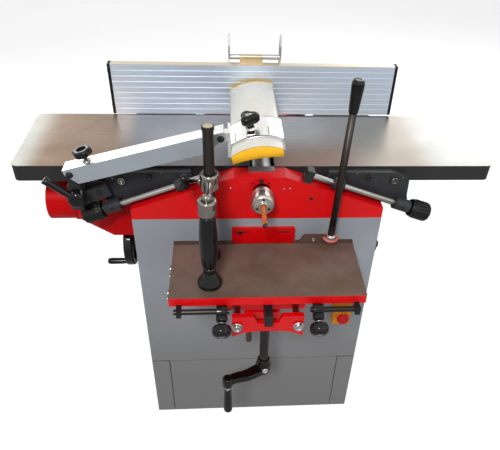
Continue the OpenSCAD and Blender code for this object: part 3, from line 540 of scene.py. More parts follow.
# Ground castings: colours of the top, its roughness, colours of the sides, stretch, stain scale, shine,
# then tints of the top and tints of single faces.
CAPPED = {
    # The infeed top's tints along X are painted light: darker past x 0.14 as painted shade, and paler past x
    # 0.33 towards the right end as a painted highlight. Its brown towards the front is stain.
    "infeed iron": (((158, 152, 147), (140, 133, 127)), (0.26, 0.4), APRON, (5, 240, 240), 2.6, 1,
                    [(0.05, -0.11, "Y", 0.9, (122, 98, 86)), (0.14, 0.3, "X", 0.85, (140, 135, 126)),
                     (0.33, 0.46, "X", 0.9, (163, 164, 161))]),
    # The outfeed top's tints along X are painted light. It turns grey from x -0.35 rightwards as painted
    # shade and reflection of the fence's end, and paler past x -0.46 at the left end as a painted highlight.
    "outfeed iron": (((158, 138, 120), (130, 106, 86)), (0.28, 0.42), APRON, (5, 240, 240), 3.4, 1,
                     [(-0.35, -0.26, "X", 0.9, (106, 103, 103)), (-0.46, -0.55, "X", 0.95, (178, 179, 173))]),
    # Past y -0.3845 the table's front lugs are painted near black as painted shade.
    "mortise iron": (((132, 116, 106), (104, 80, 64)), (0.32, 0.48), RED, (260, 6, 260), 6, 0.35, (),
                     [(beyond, ("Y", -0.2075), (70, 54, 47)), (beyond, ("Y", 0.3845, -1), (26, 26, 27)),
                      (beyond, ("Z", 0.6806), (84, 66, 58))]),
    # The arm's near-white top beside grey-blue sides is a painted highlight: one aluminium, lighter on the
    # face the light falls on.
    "arm aluminium": (((250, 250, 250), (236, 234, 230)), (0.26, 0.4), ((160, 168, 176), (150, 157, 164)),
                      (8, 320, 320), 5),
}

NODE_FINISH = {
    "grey paint": "cabinet front_panel access_panel",
    "red paint": "drive_cover mortiser_mount knee",
    "hood paint": "dust_hood",
    "casting paint": "front_casting rear_casting",
    "carriage paint": "cross_carriage",
    "dark paint": "infeed_brackets outfeed_brackets guard_carrier fence_support fence_carriage lift_bed "
                  "motor",
    "infeed iron": "infeed_table thicknesser_table",
    "outfeed iron": "outfeed_table",
    "mortise iron": "mortise_table",
    "turned steel": "spindle_bearings ledge_plate cutterblock knives spindle_pulley motor_pulley "
                    "infeed_roller outfeed_roller infeed_adjuster_rod outfeed_adjuster_rod",
    "bracket steel": "fence_brackets",
    "knee steel": "knee_rods",
    "rod steel": "table_rods",
    "saddle steel": "guard_saddle",
    "dark steel": "table_lever clamp_post",
    "bright plate": "chuck",
    "shade-darkened chrome": "clamp_arm",
    "white board": "bridge_guard",
    "brushed aluminium": "fence",
    "arm aluminium": "guard_arm",
    "black oxide": "knee_screw clamp_foot",
    "black plastic": "infeed_adjuster_grip outfeed_adjuster_grip guard_clamp_lever arm_knob guard_knob "
                     "fence_end_caps handwheel crank_handle left_stop right_stop",
    "yellow plastic": "guard_end_caps",
    "orange plastic": "switch_box",
    "red plastic": "stop_button",
    "bit orange": "mortise_bit",
    "bronze": "lift_nut",
    "belt rubber": "drive_belts",
}


class PLANER_OT_finishes(bpy.types.Operator):
    """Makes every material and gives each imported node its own"""
    bl_idname = "planer.finishes"
    bl_label = "Apply finishes"

    def execute(self, context):
        GROUPS.update(paint=painted_group(), metal=metal_group(), moulded=moulded_group())
        for name, (*skin, more) in PAINTS.items():
            skin_finish(name, "paint", *skin, **more)
        for name, (*skin, stretch, more) in METALS.items():
            skin_finish(name, "metal", *skin, Stretch=stretch, **{"metallic": 1, **more})
        for name, (*skin, coat, pebble) in MOULDED.items():
            skin_finish(name, "moulded", *skin, coat=coat, Pebble_Scale=pebble)
        for name, values in CAPPED.items():
            capped_finish(name, *values)
        bare = set(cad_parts)
        for finish, nodes in NODE_FINISH.items():
            for name in nodes.split():
                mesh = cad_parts[name].data
                mesh.materials.clear()
                mesh.materials.append(FINISH[finish])
                bare.discard(name)
        if bare:
            raise RuntimeError("nodes without a finish: " + ", ".join(sorted(bare)))
        return {"FINISHED"}


class PlanerSettings(bpy.types.PropertyGroup):
    """Colours, light levels and small sizes that a user may change"""
    casting_red: bpy.props.FloatVectorProperty(
        name="Casting red", description="Paint of the castings, the knee and the mortiser's carriage",
        default=screen(230, 13, 20), min=0, max=1, subtype="COLOR_GAMMA")
    cabinet_grey: bpy.props.FloatVectorProperty(
        name="Cabinet grey", description="Paint of the cabinet and its panels",
        default=screen(156, 163, 172), min=0, max=1, subtype="COLOR_GAMMA")
    board_white: bpy.props.FloatVectorProperty(
        name="Board white", description="Paint of the bridge guard's board",
        default=screen(240, 238, 230), min=0, max=1, subtype="COLOR_GAMMA")
    cap_yellow: bpy.props.FloatVectorProperty(
        name="Cap yellow", description="Plastic of the bridge guard's end caps",
        default=screen(250, 190, 34), min=0, max=1, subtype="COLOR_GAMMA")
    floor_size: bpy.props.FloatProperty(
        name="Floor size", description="Side of the square floor", default=14, min=4, unit="LENGTH")
    sky_level: bpy.props.FloatProperty(
        name="Sky level", description="Strength of the plain surrounding light", default=0.3, min=0)
    key_power: bpy.props.FloatProperty(
        name="Key power", description="Power of the lamp in front on the left", default=106, min=0,
        unit="POWER")
    fill_power: bpy.props.FloatProperty(
        name="Fill power", description="Power of the lamp in front on the right", default=17, min=0,
        unit="POWER")
    top_power: bpy.props.FloatProperty(
        name="Window power", description="Power of the lamp at the back on the right",
        default=26, min=0, unit="POWER")
    side_power: bpy.props.FloatProperty(
        name="Side window power", description="Power of the lamp at the back on the left",
        default=9, min=0, unit="POWER")
    grip_ribs: bpy.props.IntProperty(
        name="Grip ribs", description="Number of ribs round each adjuster grip", default=12, min=6, max=48)
    knurl: bpy.props.FloatProperty(
        name="Rib depth", description="Depth of the grip ribs as a share of the radius", default=0.045,
        min=0, max=0.1, subtype="FACTOR")
    edge_round: bpy.props.FloatProperty(
        name="Edge rounding", description="Radius of small rounded edges on added pieces", default=0.0008,
        min=0, unit="LENGTH")


ARC_POINTS = 33  # points on each arc of the guard's section


def guard_section(grow=0):
    """Arched section of the guard, turning left: an arc of sag 5 below and an arc of rise 14 above."""
    half = 54
    x = np.linspace(-half - grow, half + grow, ARC_POINTS)
    arcs = []
    for crown, sag, out in ((5, 5, -1), (30, 14, 1)):
        radius = (half ** 2 + sag ** 2) / (2 * sag)
        height = crown - radius + np.sqrt(np.maximum((radius + out * grow) ** 2 - x ** 2, 0))
        arcs.append(np.column_stack([x, height])[::-out])
    return np.vstack(arcs)


def guard_prism(shape, stations, scale):
    """Skin over guard sections at the given Y stations, each scaled about its middle height."""
    middle = np.array([0, 14])
    flat = middle + (guard_section() - middle) * np.array(scale)[:, None, None]
    y = np.broadcast_to(np.array(stations)[:, None], flat.shape[:2])
    return shape.skin(np.stack([flat[..., 0], y, flat[..., 1]], axis=-1)[::-1], guard_place())


class PLANER_OT_guard(bpy.types.Operator):
    """Builds the arched guard board, its moulded end caps and the saddle's grooves, drawn as dark lines of
    painted shade
    """
    bl_idname = "planer.guard"
    bl_label = "Build the bridge guard"

    def execute(self, context):
        guard_prism(Shape(), [-212, -211.2, 107.2, 108], [0.99, 1, 1, 0.99]).build(
            "guard_board", "white board", "guard", "aluminium", "bridge_guard")
        caps = guard_prism(Shape(), [-218, -217.2, -215.5, -212], [0.95, 0.985, 1, 1])
        guard_prism(caps, [108, 112, 113.4, 114], [1, 1, 0.985, 0.96]).build(
            "guard_caps", "yellow plastic", "guard", "yellow_plastic", "guard_end_caps")
        arc = guard_section(4.5)[ARC_POINTS:]
        # The groove is a thin dark blue tube: a painted shadow line between the bright lips.
        for name, y, finish, lift, thick in (("saddle_front_lip", -181, "bright plate", 0.2, 1.7),
                                             ("saddle_groove_shadow", -175.5, "blue shadow", 0, 0.7),
                                             ("saddle_back_lip", -87.4, "bright plate", 0.2, 1.3)):
            line = np.column_stack([arc[:, 0], np.full(len(arc), y), arc[:, 1] + lift])
            Shape().tube(put(line, guard_place()), thick, 12).build(name, finish, "saddle", "chrome")
        # The two slots are dark tubes laid on the saddle: painted shade inside them.
        slots = Shape()
        for x in (-42, 29):
            top = np.interp(x, arc[::-1, 0], arc[::-1, 1]) + 0.1
            slots.tube(put([[x, y, top] for y in np.linspace(-170, -136, 12)], guard_place()), 0.8, 10)
        slots.build("saddle_slots", "black oxide", "saddle", "black_steel")
        Shape().plate([[-9, -8.5], [9, -8.5], [9, 9], [-9, 9]], 1.6, guard_place(-8, -160, 34)).build(
            "saddle_strip", "turned steel", "saddle", "steel", bevel=context.scene.planer.edge_round)
        return {"FINISHED"}


class PLANER_OT_knobs(bpy.types.Operator):
    """Builds the three-lobed guard knob, the star knob of the arm and the guard's clamp lever"""
    bl_idname = "planer.knobs"
    bl_label = "Build the knobs"

    def execute(self, context):
        place = guard_place(-8, -135, 38)
        Shape().turned([[8, 0], [8, 8]], place, 28).turned(
            [[17, 7], [22.8, 12], [22.8, 24], [17, 29], [9, 29], [8, 26.5]],
            place, 72, 2.6, 4, lobed(3, 0.36)).build(
            "guard_knob_star", "black gloss", "saddle_screw", "black_plastic", "guard_knob")
        Shape().turned([[7.6, 26], [7.6, 28], [POLE, 28.6]], place, 30).build(
            "guard_knob_insert", "turned steel", "saddle_screw", "chrome")

        arm = leaning(ARM_PIVOT, ARM_ANGLE)
        place = put([40, -182, 13], arm), arm[1]
        Shape().turned([[8, 9], [10, 12], [16, 13], [20, 16], [20, 26], [17.5, 29], [10, 29], [9, 22]],
                       place, 72, 1.6, 3, lobed(6, 0.11)).build(
            "arm_knob_star", "black gloss", "arm_screw", "black_plastic", "arm_knob")
        Shape().turned([[9, 0], [9, 1.6], [4.5, 1.8], [4.5, 23], [POLE, 23.4]], place, 28).build(
            "arm_knob_stud", "turned steel", "arm_screw", "chrome")

        t = np.linspace(0, 1, 9)[:, None]
        path = np.array([-394, -211, 812]) * (1 - t) + np.array([-446, -213.5, 859]) * t
        hub, tip = frame_of((-390, -192, 806), FRONT), frame_of((-445.6, -213.5, 858.6), path[-1] - path[0])
        Shape().turned([[17, 0], [19, 3], [19, 19], [15.5, 24], [7, 26]], hub, 44, 3).tube(
            path, 7.4 + 1.2 * t[:, 0] ** 2, 24).build(
            "guard_lever", "black gloss", "arm_lock", "black_plastic", "guard_clamp_lever")
        Shape().turned([[6, 0], [5.4, 0.8], [POLE, 1.2]], tip, 24).build(
            "guard_lever_insert", "beige paint", "arm_lock", "black_plastic")
        return {"FINISHED"}


class PLANER_OT_grips(bpy.types.Operator):
    """Builds the ribbed grips of both table adjusters"""
    bl_idname = "planer.grips"
    bl_label = "Build the adjuster grips"

    def execute(self, context):
        ribs, depth = context.scene.planer.grip_ribs, context.scene.planer.knurl

        def ribbed(a, h):
            inside = np.clip(np.minimum(h - 5, 43 - h) / 3, 0, 1)
            return 1 - depth * inside * (0.5 + 0.5 * np.cos(ribs * a)) ** 3

        for body, hand, shift in (("infeed_adjuster", 1, INFEED_SHIFT), ("outfeed_adjuster", -1, 0)):
            down = (hand * math.cos(WAY_ANGLE), 0, -math.sin(WAY_ANGLE))
            Shape().turned([[18, 0], [20.5, 3], [21, 8], [22.8, 12], [23, 40], [21.5, 46], [18, 49]],
                           frame_of(way_point(303, -160, 17, hand, shift), down), 144, 2, 3, ribbed).build(
                body + "_grip_ribbed", "black plastic", body, "black_plastic", body + "_grip")
        return {"FINISHED"}


class PLANER_OT_chuck(bpy.types.Operator):
    """Builds the three-jaw chuck, its key holes and the twisted slot-mortising bit"""
    bl_idname = "planer.chuck"
    bl_label = "Build the chuck and bit"

    def execute(self, context):
        place = frame_of((SPINDLE_X, -190, SPINDLE_Z), FRONT)
        third, start = TURN / 3, 0.5

        def jawed(a, h):
            near = np.abs((a - start + third / 2) % third - third / 2)
            return 1 - 0.12 * (near < 0.16) * (h > 40.8) * (h < 45.9)

        Shape().turned([[23.5, 0], [25.5, 2], [25.5, 10], [24.8, 10.6], [24.8, 12.4], [25.5, 13], [25.5, 34],
                        [24.6, 36], [22.6, 39], [20.4, 40.6], [19.4, 40.2], [11.6, 41], [11, 45.4], [9.6, 46],
                        [6.6, 46], [6.2, 44]], place, 96, 0.6, 2, jawed).build(
            "chuck_body", "chuck steel", "cutter", "chrome", "chuck")
        keys = Shape()
        for a in start + third / 2 + third * np.arange(3):
            out = np.array([math.cos(a), math.sin(a), 0])
            keys.turned([[4.2, 0], [4.2, 0.75], [3.2, 0.8], [POLE, 0.3]],
                        frame_of(put(24.9 * out + [0, 0, 21.5], place), place[1] @ out), 24)
            keys.turned([[3, 0], [3, 1.5], [POLE, 1.6]],
                        (put(15.6 * out + [0, 0, 39.6], place), place[1]), 20)
        keys.build("chuck_keys", "black oxide", "cutter", "black_steel")

        base, a = frame_of((SPINDLE_X, -214, SPINDLE_Z), FRONT), circle(32)
        shank = np.concatenate([np.linspace(0, 36, 7), np.linspace(37, 84, 60)])[:, None]
        for name, finish, node, h in (("bit_flutes", "bit orange", "mortise_bit", shank),
                                      ("bit_tip", "black oxide", None, np.linspace(83.8, 91, 8)[:, None])):
            flute = np.clip((h - 30) / 8, 0, 1) * np.maximum(np.cos(2 * (a - h * TURN / 44)), 0) ** 1.5
            r = 5.5 * np.clip((92.6 - h) / 5, 0.3, 1) * (1 - 0.36 * flute)
            Shape().skin(swept(r, a, h), base).build(name, finish, "cutter", "steel", node)
        return {"FINISHED"}


class PLANER_OT_stops(bpy.types.Operator):
    """Builds both travel stops: a bored collar, a neck and a round knob with a steel screw"""
    bl_idname = "planer.stops"
    bl_label = "Build the travel stops"

    def execute(self, context):
        for x, body, node in ((-86, "stop_a", "left_stop"), (115, "stop_b", "right_stop")):
            place = frame_of((x, -397, 654), (0, -0.866025, -0.5))
            rod = frame_of(place[0], (1, 0, 0))
            Shape().hoop([[6.3, -11], [13.2, -11], [13.2, 11], [6.3, 11]], rod, 40, 1.2).turned(
                [[POLE, 9.5], [9.4, 9], [12.4, 11], [12.4, 20], [10, 23], [7.2, 23.6], [7, 27.5],
                 [13.6, 28.5], [18.4, 32], [20.6, 38], [20.4, 45], [17.6, 51], [12.6, 54.4], [8.4, 55],
                 [8, 53]],
                place, 56, 1.4, 3).build(node + "_knob", "black gloss", body, "black_plastic", node)
            Shape().cap_screw((put([0, 0, 52], place), place[1]), 7.4, 2.9).hoop(
                [[7.1, 24], [8.4, 24], [8.4, 27], [7.1, 27]], place, 32).build(
                node + "_screw", "turned steel", body, "chrome")
        return {"FINISHED"}


class PLANER_OT_crank(bpy.types.Operator):
    """Builds the curved crank arm, its screw, its clamping bolt and the turned handle"""
    bl_idname = "planer.crank"
    bl_label = "Build the crank"

    def execute(self, context):
        centre, post = upright(*KNEE_SCREW), upright(*CRANK_PIN, 238)
        line = fillet([[2, 2], [-22, -14], [-44, -25], [-70, -30], [-90, -40]], 12, 5)
        ahead = unit(np.gradient(line, axis=0))
        a = circle(28)
        across = squared(np.cos(a), 0.55) * (16.5 - 4 * np.linspace(0, 1, len(line))[:, None])
        x, y = line[:, :1] - ahead[:, 1:] * across, line[:, 1:] + ahead[:, :1] * across
        rows = np.stack(np.broadcast_arrays(x, y, 356 + 9.6 * squared(np.sin(a), 0.55)), axis=-1)
        Shape().turned([[17, 346], [19, 350], [19, 374], [16, 384], [15, 393], [9, 394]],
                       centre, 48, 2.5).skin(rows, centre).turned(
            [[11, 339], [13, 342], [13, 366], [10, 370]], upright(*CRANK_PIN), 40, 2).build(
            "crank_arm", "black gloss", "knee_drive", "black_steel", "knee_screw")
        h = np.arange(394.0, 560.0)
        thread = np.column_stack([10.7 + 0.3 * np.cos(TURN * h / 4), h])
        Shape().turned(np.vstack([[POLE, 393], thread, [6, 560], [6, 578]]), centre, 32).build(
            "knee_screw_thread", "black oxide", "knee_drive", "black_steel")
        Shape().cap_screw(frame_of((17, -322, 366), (0.16, -0.98, 0.1)), 7.6, 5).build(
            "crank_bolt", "bright plate", "knee_drive", "chrome")
        Shape().turned([[8, 0], [10.6, 2], [11.6, 12], [11.6, 30], [10.2, 58], [8.6, 84], [8, 88],
                        [POLE, 88.5]], post, 40, 2).build(
            "crank_grip", "black gloss", "knee_grip", "black_plastic", "crank_handle")
        Shape().turned([[6.8, 87], [7.4, 90], [6, 94], [4.9, 96], [4.9, 120]], post, 28).build(
            "crank_grip_neck", "bright plate", "knee_grip", "chrome")
        return {"FINISHED"}


class PLANER_OT_handwheel(bpy.types.Operator):
    """Builds the lifting handwheel: deep rim, three spokes, hub with its shaft and a turned handle"""
    bl_idname = "planer.handwheel"
    bl_label = "Build the handwheel"

    def execute(self, context):
        place = frame_of((-332, 0, 530), LEFT)
        wheel = Shape().hoop([[52, -11], [64, -12], [66, -8], [66, 8], [64, 12], [52, 11]], place, 80, 3)
        wheel.turned([[13, -306], [13, -286], [9, -286], [9, -14], [17, -14], [20, -11], [20, 7], [17, 10],
                      [8, 10], [7, 8]], place, 48)
        for a in np.radians((90, 210, 330)):
            reach = np.linspace(12, 57, 8)[:, None]
            wheel.tube(put(reach * [math.cos(a), math.sin(a), 0], place), 6.6, 20)
        wheel.turned([[6, 0], [7, 3], [8.2, 20], [8.6, 48], [7, 56], [POLE, 57]],
                     frame_of((-334, -50, 500), LEFT), 32, 1.5, 3)
        wheel.build("handwheel_cast", "black gloss", "bed_wheel", "black_plastic", "handwheel")
        return {"FINISHED"}


class PLANER_OT_clamp(bpy.types.Operator):
    """Builds the work clamp: ringed bright arm, side knob, barrel sleeve, screw and cone foot"""
    bl_idname = "planer.clamp"
    bl_label = "Build the work clamp"

    def execute(self, context):
        post, foot = upright(*CLAMP_POST), upright(*CLAMP_SCREW)
        y = np.linspace(-263.5, -326.5, 13)[:, None]
        waist = 1 - 0.22 * np.sin(math.pi * (y + 263.5) / -63)
        rows = swept(waist, circle(32), y)[..., [0, 2, 1]] * [10.5, 1, 13.5] + [-108.5, 0, CLAMP_Z]
        Shape().hoop([[11.4, 858], [18, 858], [20, 862], [18.8, 877], [20, 892], [18, 896], [11.4, 896]],
                     post, 56, 2).hoop(
            [[10.4, 860], [17, 860], [19, 864], [17.6, 877], [19, 890], [17, 894], [10.4, 894]],
            foot, 56, 2).skin(rows).turned(
            [[7, 0], [7, 3], [4, 4], [4, 30]], frame_of((-125.5, CLAMP_POST[1], CLAMP_Z), LEFT), 28).build(
            "clamp_arm_cast", "shade-darkened chrome", "work_clamp", "chrome", "clamp_arm")
        Shape().turned([[9, 0], [10, 4], [17, 6], [19, 9], [19, 14], [15, 18]],
                       frame_of((-147, CLAMP_POST[1], CLAMP_Z), LEFT, (0, 1, 0)), 60, 1.5, 3,
                       lobed(3, 0.4, math.pi / 2)).build(
            "clamp_side_knob", "black gloss", "work_clamp", "black_plastic")
        z = np.linspace(732, 857, 26)
        barrel = np.column_stack([14.6 + 4.2 * np.sin(math.pi * (z - 732) / 125) ** 0.8, z])
        Shape().turned(np.vstack([[12.6, 730], barrel, [12, 859]]), foot, 48).turned(
            [[24.6, 680], [26, 682.5], [26, 689], [21, 698], [13.6, 712], [12.2, 714], [12.2, 716.5],
             [13.4, 718], [13.4, 725], [11, 728], [POLE, 731]], foot, 56, 1.2, 3).build(
            "clamp_sleeve_foot", "black gloss", "work_screw", "black_steel", "clamp_foot")
        Shape().turned([[10, 858], [10, 900], [7, 905], [POLE, 906]], foot, 36, 1.5, 3).build(
            "clamp_screw_end", "shade-darkened chrome", "work_screw", "chrome")
        Shape().turned([[10.4, 1000], [9.8, 1000.7], [POLE, 1000.9]], post, 32).build(
            "clamp_post_end", "beige paint", "mortise_bed", "black_steel")
        return {"FINISHED"}


class PLANER_OT_lever(bpy.types.Operator):
    """Builds the long table lever with its moulded grip, ball nut and washer"""
    bl_idname = "planer.lever"
    bl_label = "Build the table lever"

    def execute(self, context):
        tilt, foot = math.radians(2.2), upright(*LEVER_FOOT)
        place = frame_of((*LEVER_FOOT, 698), (math.sin(tilt), 0, math.cos(tilt)), (0, 1, 0))
        Shape().turned([[8, -10], [8, 316]], place, 32).build(
            "lever_rod", "dark steel", "mortise_bed", "black_steel", "table_lever")
        Shape().turned([[8.8, 308], [9.6, 311], [10.6, 320], [12.9, 362], [12.6, 371], [10.4, 377.4],
                        [5, 378], [4.6, 377]], place, 44, 1.5, 3).build(
            "lever_grip", "black gloss", "mortise_bed", "black_plastic")
        Shape().turned([[11, 692], [12.4, 695], [12.4, 699], [10.4, 703.4], [8.2, 704.4]],
                       foot, 36, 1.6).build(
            "lever_nut", "bright plate", "mortise_bed", "chrome")
        Shape().hoop([[12.8, 692], [18.2, 692], [18.8, 694.5], [17, 697], [12.8, 697]], foot, 44, 0.9).build(
            "lever_washer", "pink plastic", "mortise_bed", "red_plastic")
        return {"FINISHED"}


class PLANER_OT_switch(bpy.types.Operator):
    """Builds the switch housing with its raised bezel and the mushroom stop button"""
    bl_idname = "planer.switch"
    bl_label = "Build the switch"

    def execute(self, context):
        face = np.column_stack([[1, 0, 0], [0, 0, 1], FRONT])
        centre = np.array(STOP_BUTTON, float), face
        Shape().soft_box((-24, -32, 0), (24, 32, 20), 2.4, 0.14, (put([-1, -2, 0], centre), face)).turned(
            [[21, 19], [21, 21.4], [18.5, 22.4], [9.6, 22.4], [9.2, 26.5]], centre, 48, 0.8, 3).build(
            "switch_housing", "orange plastic", "base", "orange_plastic", "switch_box")
        Shape().turned([[10.6, 33.5], [10.6, 28.2], [14.2, 28.2], [16, 30], [16, 35], [13.6, 38.8], [9, 40],
                        [4, 39.2], [POLE, 39]], centre, 48, 0.8, 3).build(
            "stop_mushroom", "red plastic", "button", "red_plastic", "stop_button")
        return {"FINISHED"}


class PLANER_OT_fasteners(bpy.types.Operator):
    """Adds the screws, bolts, rivets, holes and the side latch seen in the photo"""
    bl_idname = "planer.fasteners"
    bl_label = "Add the fasteners"

    def execute(self, context):
        self.base_pieces()
        for body, hand, shift in (("infeed", 1, INFEED_SHIFT), ("outfeed", -1, 0)):
            self.bracket_screws(body, hand, shift)
        self.arm_pieces()
        self.mortiser_pieces()
        self.front_marks()
        self.fence_pieces()
        return {"FINISHED"}

    def base_pieces(self):
        """Rivets and plugs of the casting and the latch on the cabinet's side."""
        rivets, plugs = Shape(), Shape()
        for x, z in ((54.6, 806.4), (67.7, 807.9), (-63.4, 809.4)):
            rivets.turned([[2.6, 0], [2, 1.1], [POLE, 1.5]], frame_of((x, FACE_Y, z), FRONT), 18)
        plugs.cap_screw(frame_of((2.9, FACE_Y, 829), FRONT), 5.2, 3.6)
        for x, z, r in ((-16.2, 822.2, 2.8), (19.9, 822, 2.8), (117.5, 780.7, 4.2), (131.1, 776.5, 1.8)):
            plugs.turned([[r, 0], [r, 0.3], [POLE, 0.35]], frame_of((x, FACE_Y, z), FRONT), 20)
        rivets.build("casting_rivets", "turned steel", "base", "steel")
        plugs.build("casting_plugs", "black oxide", "base", "black_steel")
        Shape().soft_box((288, -160, 616), (294.5, -138, 646), 1.6, 0.2).soft_box(
            (293.5, -155, 622), (299, -143, 637), 1.6, 0.3).build(
            "side_latch", "black oxide", "base", "black_plastic")

    def bracket_screws(self, body, hand, shift):
        """Bright and dark screws on one table's bracket, moved down the way by shift."""
        dx, dz = shift * math.cos(WAY_ANGLE), -shift * math.sin(WAY_ANGLE)

        def on_bracket(x, z):
            return frame_of((hand * (x + dx), -145, z + dz), FRONT)

        bright = Shape().cap_screw(on_bracket(304, 813.6), 9.2, 6.5)
        for x, z in ((216, 831), (324, 818.6)):
            bright.turned([[2.2, 0], [2.2, 1], [POLE, 1.6]], on_bracket(x, z), 16)
        dark = Shape().cap_screw(on_bracket(243, 822), 6.6, 5)
        for s, y in ((116, -174.6), (281, -175.4)):
            dark.cap_screw(frame_of(way_point(s, y, 17, hand, shift), FRONT), 3.4, 1.6)
        bright.build(body + "_bright_screws", "shade-darkened chrome", body, "chrome")
        dark.build(body + "_dark_screws", "black oxide", body, "black_steel")

    def arm_pieces(self):
        """Web and screw of the guard's carrier and the bolts at both ends of the arm."""
        Shape().plate([[-390, 771], [-336, 796], [-331, 811.5], [-410, 811], [-408.5, 791]], 3.6,
                      frame_of((0, -145.2, 0), FRONT)).build(
            "carrier_web", "dark paint", "outfeed", "dark_iron")
        Shape().cap_screw(frame_of((-353, -163, 793), FRONT), 5.6, 4).build(
            "carrier_screw", "black oxide", "outfeed", "black_steel")
        for name, (x, _, z), body in (("arm_pivot_bolt", ARM_PIVOT, "outfeed"),
                                      ("saddle_pivot_bolt", ARM_TIP, "saddle")):
            Shape().hex_head(frame_of((x, -200, z), FRONT), 5, 4.6).build(
                name, "black oxide", body, "black_steel")

    def mortiser_pieces(self):
        """Screws in the ends of the knee's rods, and the table's ear and small screws."""
        ends = Shape()
        for x in (-54, 78):
            ends.turned([[12.5, 0], [12.5, 1.4]], frame_of((x, -395, 602), FRONT), 32)
            ends.cap_screw(frame_of((x, -396.2, 602), FRONT), 9.6, 5.4)
        ends.build("knee_rod_screws", "bright plate", "knee_body", "chrome")
        Shape().plate(fillet([[84, 668], [188, 668], [176, 686], [152, 702], [104, 702]], 6), 5,
                      frame_of((0, -201, 0), FRONT)).build(
            "table_ear", "ear iron", "mortise_bed", "ground_iron")
        screws = Shape().cap_screw(frame_of((126, -206, 690), FRONT), 4.4, 2.4, 24)
        for y in (-302, -372):
            screws.turned([[5, 0], [5, 3], [3.6, 4.4], [POLE, 4.6]], frame_of((-195, y, 669), LEFT), 24)
        screws.build("table_small_screws", "bright plate", "mortise_bed", "steel")

    def front_marks(self):
        """Slots of the mortiser's mount, drawn as thin black boxes of painted shade, and seams beside the
        access panel.
        """
        slots, seams = Shape(), Shape()
        # Each slot is a thin black box: painted shade inside the slot.
        for x0, x1, z0, z1 in ((-58, -22, 691, 694.5), (-46, -38, 684, 692), (46, 74, 690, 693.5)):
            slots.soft_box((x0, -179.6, z0), (x1, -178.6, z1), 0.3, 0.2)
        for hand in (-1, 1):
            seams.tube([[hand * x, FACE_Y, 231] for x in (238.5, 287.5)], 0.7, 10)
        slots.build("mount_slots", "black oxide", "base", "black_steel")
        seams.build("panel_seams", "black oxide", "base", "black_steel")

    def fence_pieces(self):
        """Rounded end caps of the fence with two screws each."""
        caps, heads = Shape(), Shape()
        for hand in (-1, 1):
            low, high = sorted((hand * 349.6, hand * 357))
            caps.soft_box((low, 124.6, 841.6), (high, 147, 971.4), 2.2, 0.2)
            for z in (862, 950):
                heads.cap_screw(frame_of((hand * 357, 136, z), (hand, 0, 0)), 3.6, 2, 24)
        caps.build("fence_caps", "black plastic", "fence_tilt", "black_plastic", "fence_end_caps")
        heads.build("fence_cap_screws", "turned steel", "fence_tilt", "steel")


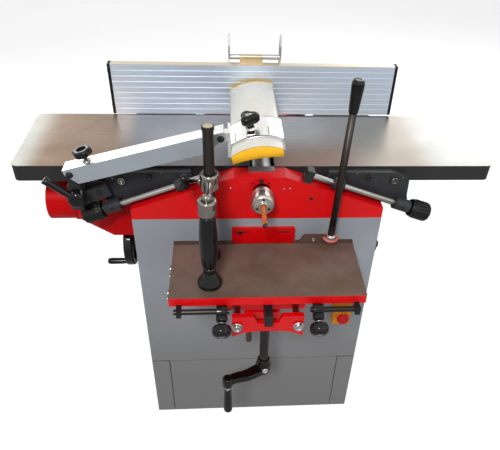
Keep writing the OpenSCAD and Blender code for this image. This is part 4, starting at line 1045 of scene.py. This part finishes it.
class PLANER_OT_stage(bpy.types.Operator):
    """Adds the pale floor, the soft studio lights, the world and the camera of the photo"""
    bl_idname = "planer.stage"
    bl_label = "Set the stage"

    def execute(self, context):
        scene = context.scene
        settings = scene.planer
        half = settings.floor_size / 2
        mesh = bpy.data.meshes.new("floor")
        corners = [(-half, -half, 0), (half, -half, 0), (half, half, 0), (-half, half, 0)]
        mesh.from_pydata(corners, [], [(0, 1, 2, 3)])
        floor = bpy.data.objects.new("floor", mesh)
        scene.collection.objects.link(floor)
        mesh.materials.append(self.floor_material())
        self.world(scene)
        for name, origin, target, size, power in (
                ("key", (-0.7, -2.9, 3.5), (0, 0, 0.6), 0.7, settings.key_power),
                ("fill", (2.6, -2.2, 2.6), (0, 0, 0.6), 2.4, settings.fill_power),
                ("window", (1.7, 2.5, 2.3), (0.45, 0, 0.84), 1.7, settings.top_power),
                ("side window", (-1.7, 2.1, 1.8), (-0.4, -0.1, 0.86), 0.9, settings.side_power)):
            self.lamp(scene, name, origin, target, size, power)
        self.camera(scene)
        scene.view_settings.view_transform = "Standard"
        return {"FINISHED"}

    def floor_material(self):
        """Pale floor, lifted to white for the camera alone: its shadow stays and it lights no more."""
        material = bpy.data.materials.new("floor")
        material.use_nodes = True
        tree = material.node_tree
        cloud = noise(tree, object_place(tree), 1.2, 3)
        pale = blend(tree, remap(tree, cloud, 0.3, 0.7), (0.6, 0.6, 0.6, 1), (0.56, 0.56, 0.56, 1))
        seen = add_node(tree, "LightPath")["Is Camera Ray"]
        glow = blend(tree, seen, (0, 0, 0, 1), (0.66, 0.66, 0.66, 1))
        feed(tree, tree.nodes["Principled BSDF"].inputs,
             dict(Base_Color=pale, Roughness=0.9, Specular_IOR_Level=0.1,
                  Emission_Color=glow, Emission_Strength=1))
        return material

    def world(self, scene):
        """White where the camera, mirrors or glass see it, a plain level of light elsewhere."""
        world = bpy.data.worlds.new("studio")
        scene.world = world
        world.use_nodes = True
        tree = world.node_tree
        plain = tree.nodes["Background"]
        feed(tree, plain.inputs, dict(Color=(1, 1, 1, 1), Strength=scene.planer.sky_level))
        white = add_node(tree, "Background", dict(Color=(1, 1, 1, 1), Strength=1))[0]
        ray = add_node(tree, "LightPath")
        seen = ray["Is Camera Ray"]
        for label in ("Is Glossy Ray", "Is Transmission Ray"):
            seen = calc(tree, "MAXIMUM", seen, ray[label])
        mixed = add_node(tree, "MixShader", {0: seen, 1: plain.outputs[0], 2: white})[0]
        feed(tree, tree.nodes["World Output"].inputs, dict(Surface=mixed))

    def lamp(self, scene, name, origin, target, size, power):
        """Square area lamp that looks from its origin to its target."""
        light = bpy.data.lights.new(name, "AREA")
        light.size = size
        light.energy = power
        lamp = bpy.data.objects.new(name, light)
        axes = frame_of(origin, np.subtract(origin, target))[1]
        lamp.matrix_world = Matrix.Translation(origin) @ Matrix(axes.tolist()).to_4x4()
        scene.collection.objects.link(lamp)

    def camera(self, scene):
        """Camera solved from the photo: yaw, pitch and roll give its right, up and back axes."""
        yaw, pitch, roll = -0.0947, 0.6769, 0.0477
        focal, middle_x, middle_y = 565.118, 269.57, 243.96  # in pixels
        wide, high, sensor = 500, 450, 36
        right = np.array([math.cos(yaw), math.sin(yaw), 0])
        level = np.array([-math.sin(yaw), math.cos(yaw), 0])
        ahead = level * math.cos(pitch) - [0, 0, math.sin(pitch)]
        up = np.cross(right, ahead)
        x = math.cos(roll) * right + math.sin(roll) * up
        y = -math.sin(roll) * right + math.cos(roll) * up
        data = bpy.data.cameras.new("camera")
        data.sensor_width = sensor
        data.lens = focal * sensor / wide
        data.shift_x = (wide / 2 - middle_x) / wide
        data.shift_y = (middle_y - high / 2) / wide
        data.clip_end = 50
        camera = bpy.data.objects.new("camera", data)
        turn = Matrix(np.column_stack([x, y, -ahead]).tolist()).to_4x4()
        camera.matrix_world = Matrix.Translation((-0.07167, -1.2215, 1.49731)) @ turn
        scene.collection.objects.link(camera)
        scene.camera = camera


STEPS = (PLANER_OT_finishes, PLANER_OT_guard, PLANER_OT_knobs, PLANER_OT_grips, PLANER_OT_chuck,
         PLANER_OT_stops, PLANER_OT_crank, PLANER_OT_handwheel, PLANER_OT_clamp, PLANER_OT_lever,
         PLANER_OT_switch, PLANER_OT_fasteners, PLANER_OT_stage)


class PLANER_PT_panel(bpy.types.Panel):
    """Lists the dressing steps in the 3D view's sidebar"""
    bl_label = "Planer dressing"
    bl_idname = "PLANER_PT_panel"
    bl_space_type = "VIEW_3D"
    bl_region_type = "UI"
    bl_category = "Planer"

    def draw(self, context):
        settings = context.scene.planer
        for name in PlanerSettings.__annotations__:
            self.layout.prop(settings, name)
        for step in STEPS:
            self.layout.operator(step.bl_idname)


CLASSES = (PlanerSettings, *STEPS, PLANER_PT_panel)


def register():
    for item in CLASSES:
        bpy.utils.register_class(item)
    bpy.types.Scene.planer = bpy.props.PointerProperty(type=PlanerSettings)


def unregister():
    del bpy.types.Scene.planer
    for item in reversed(CLASSES):
        bpy.utils.unregister_class(item)


def main():
    """Registers the add-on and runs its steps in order."""
    register()
    for step in STEPS:
        group, name = step.bl_idname.split(".")
        getattr(getattr(bpy.ops, group), name)()
    bpy.context.view_layer.update()


if __name__ == "__main__":
    main()
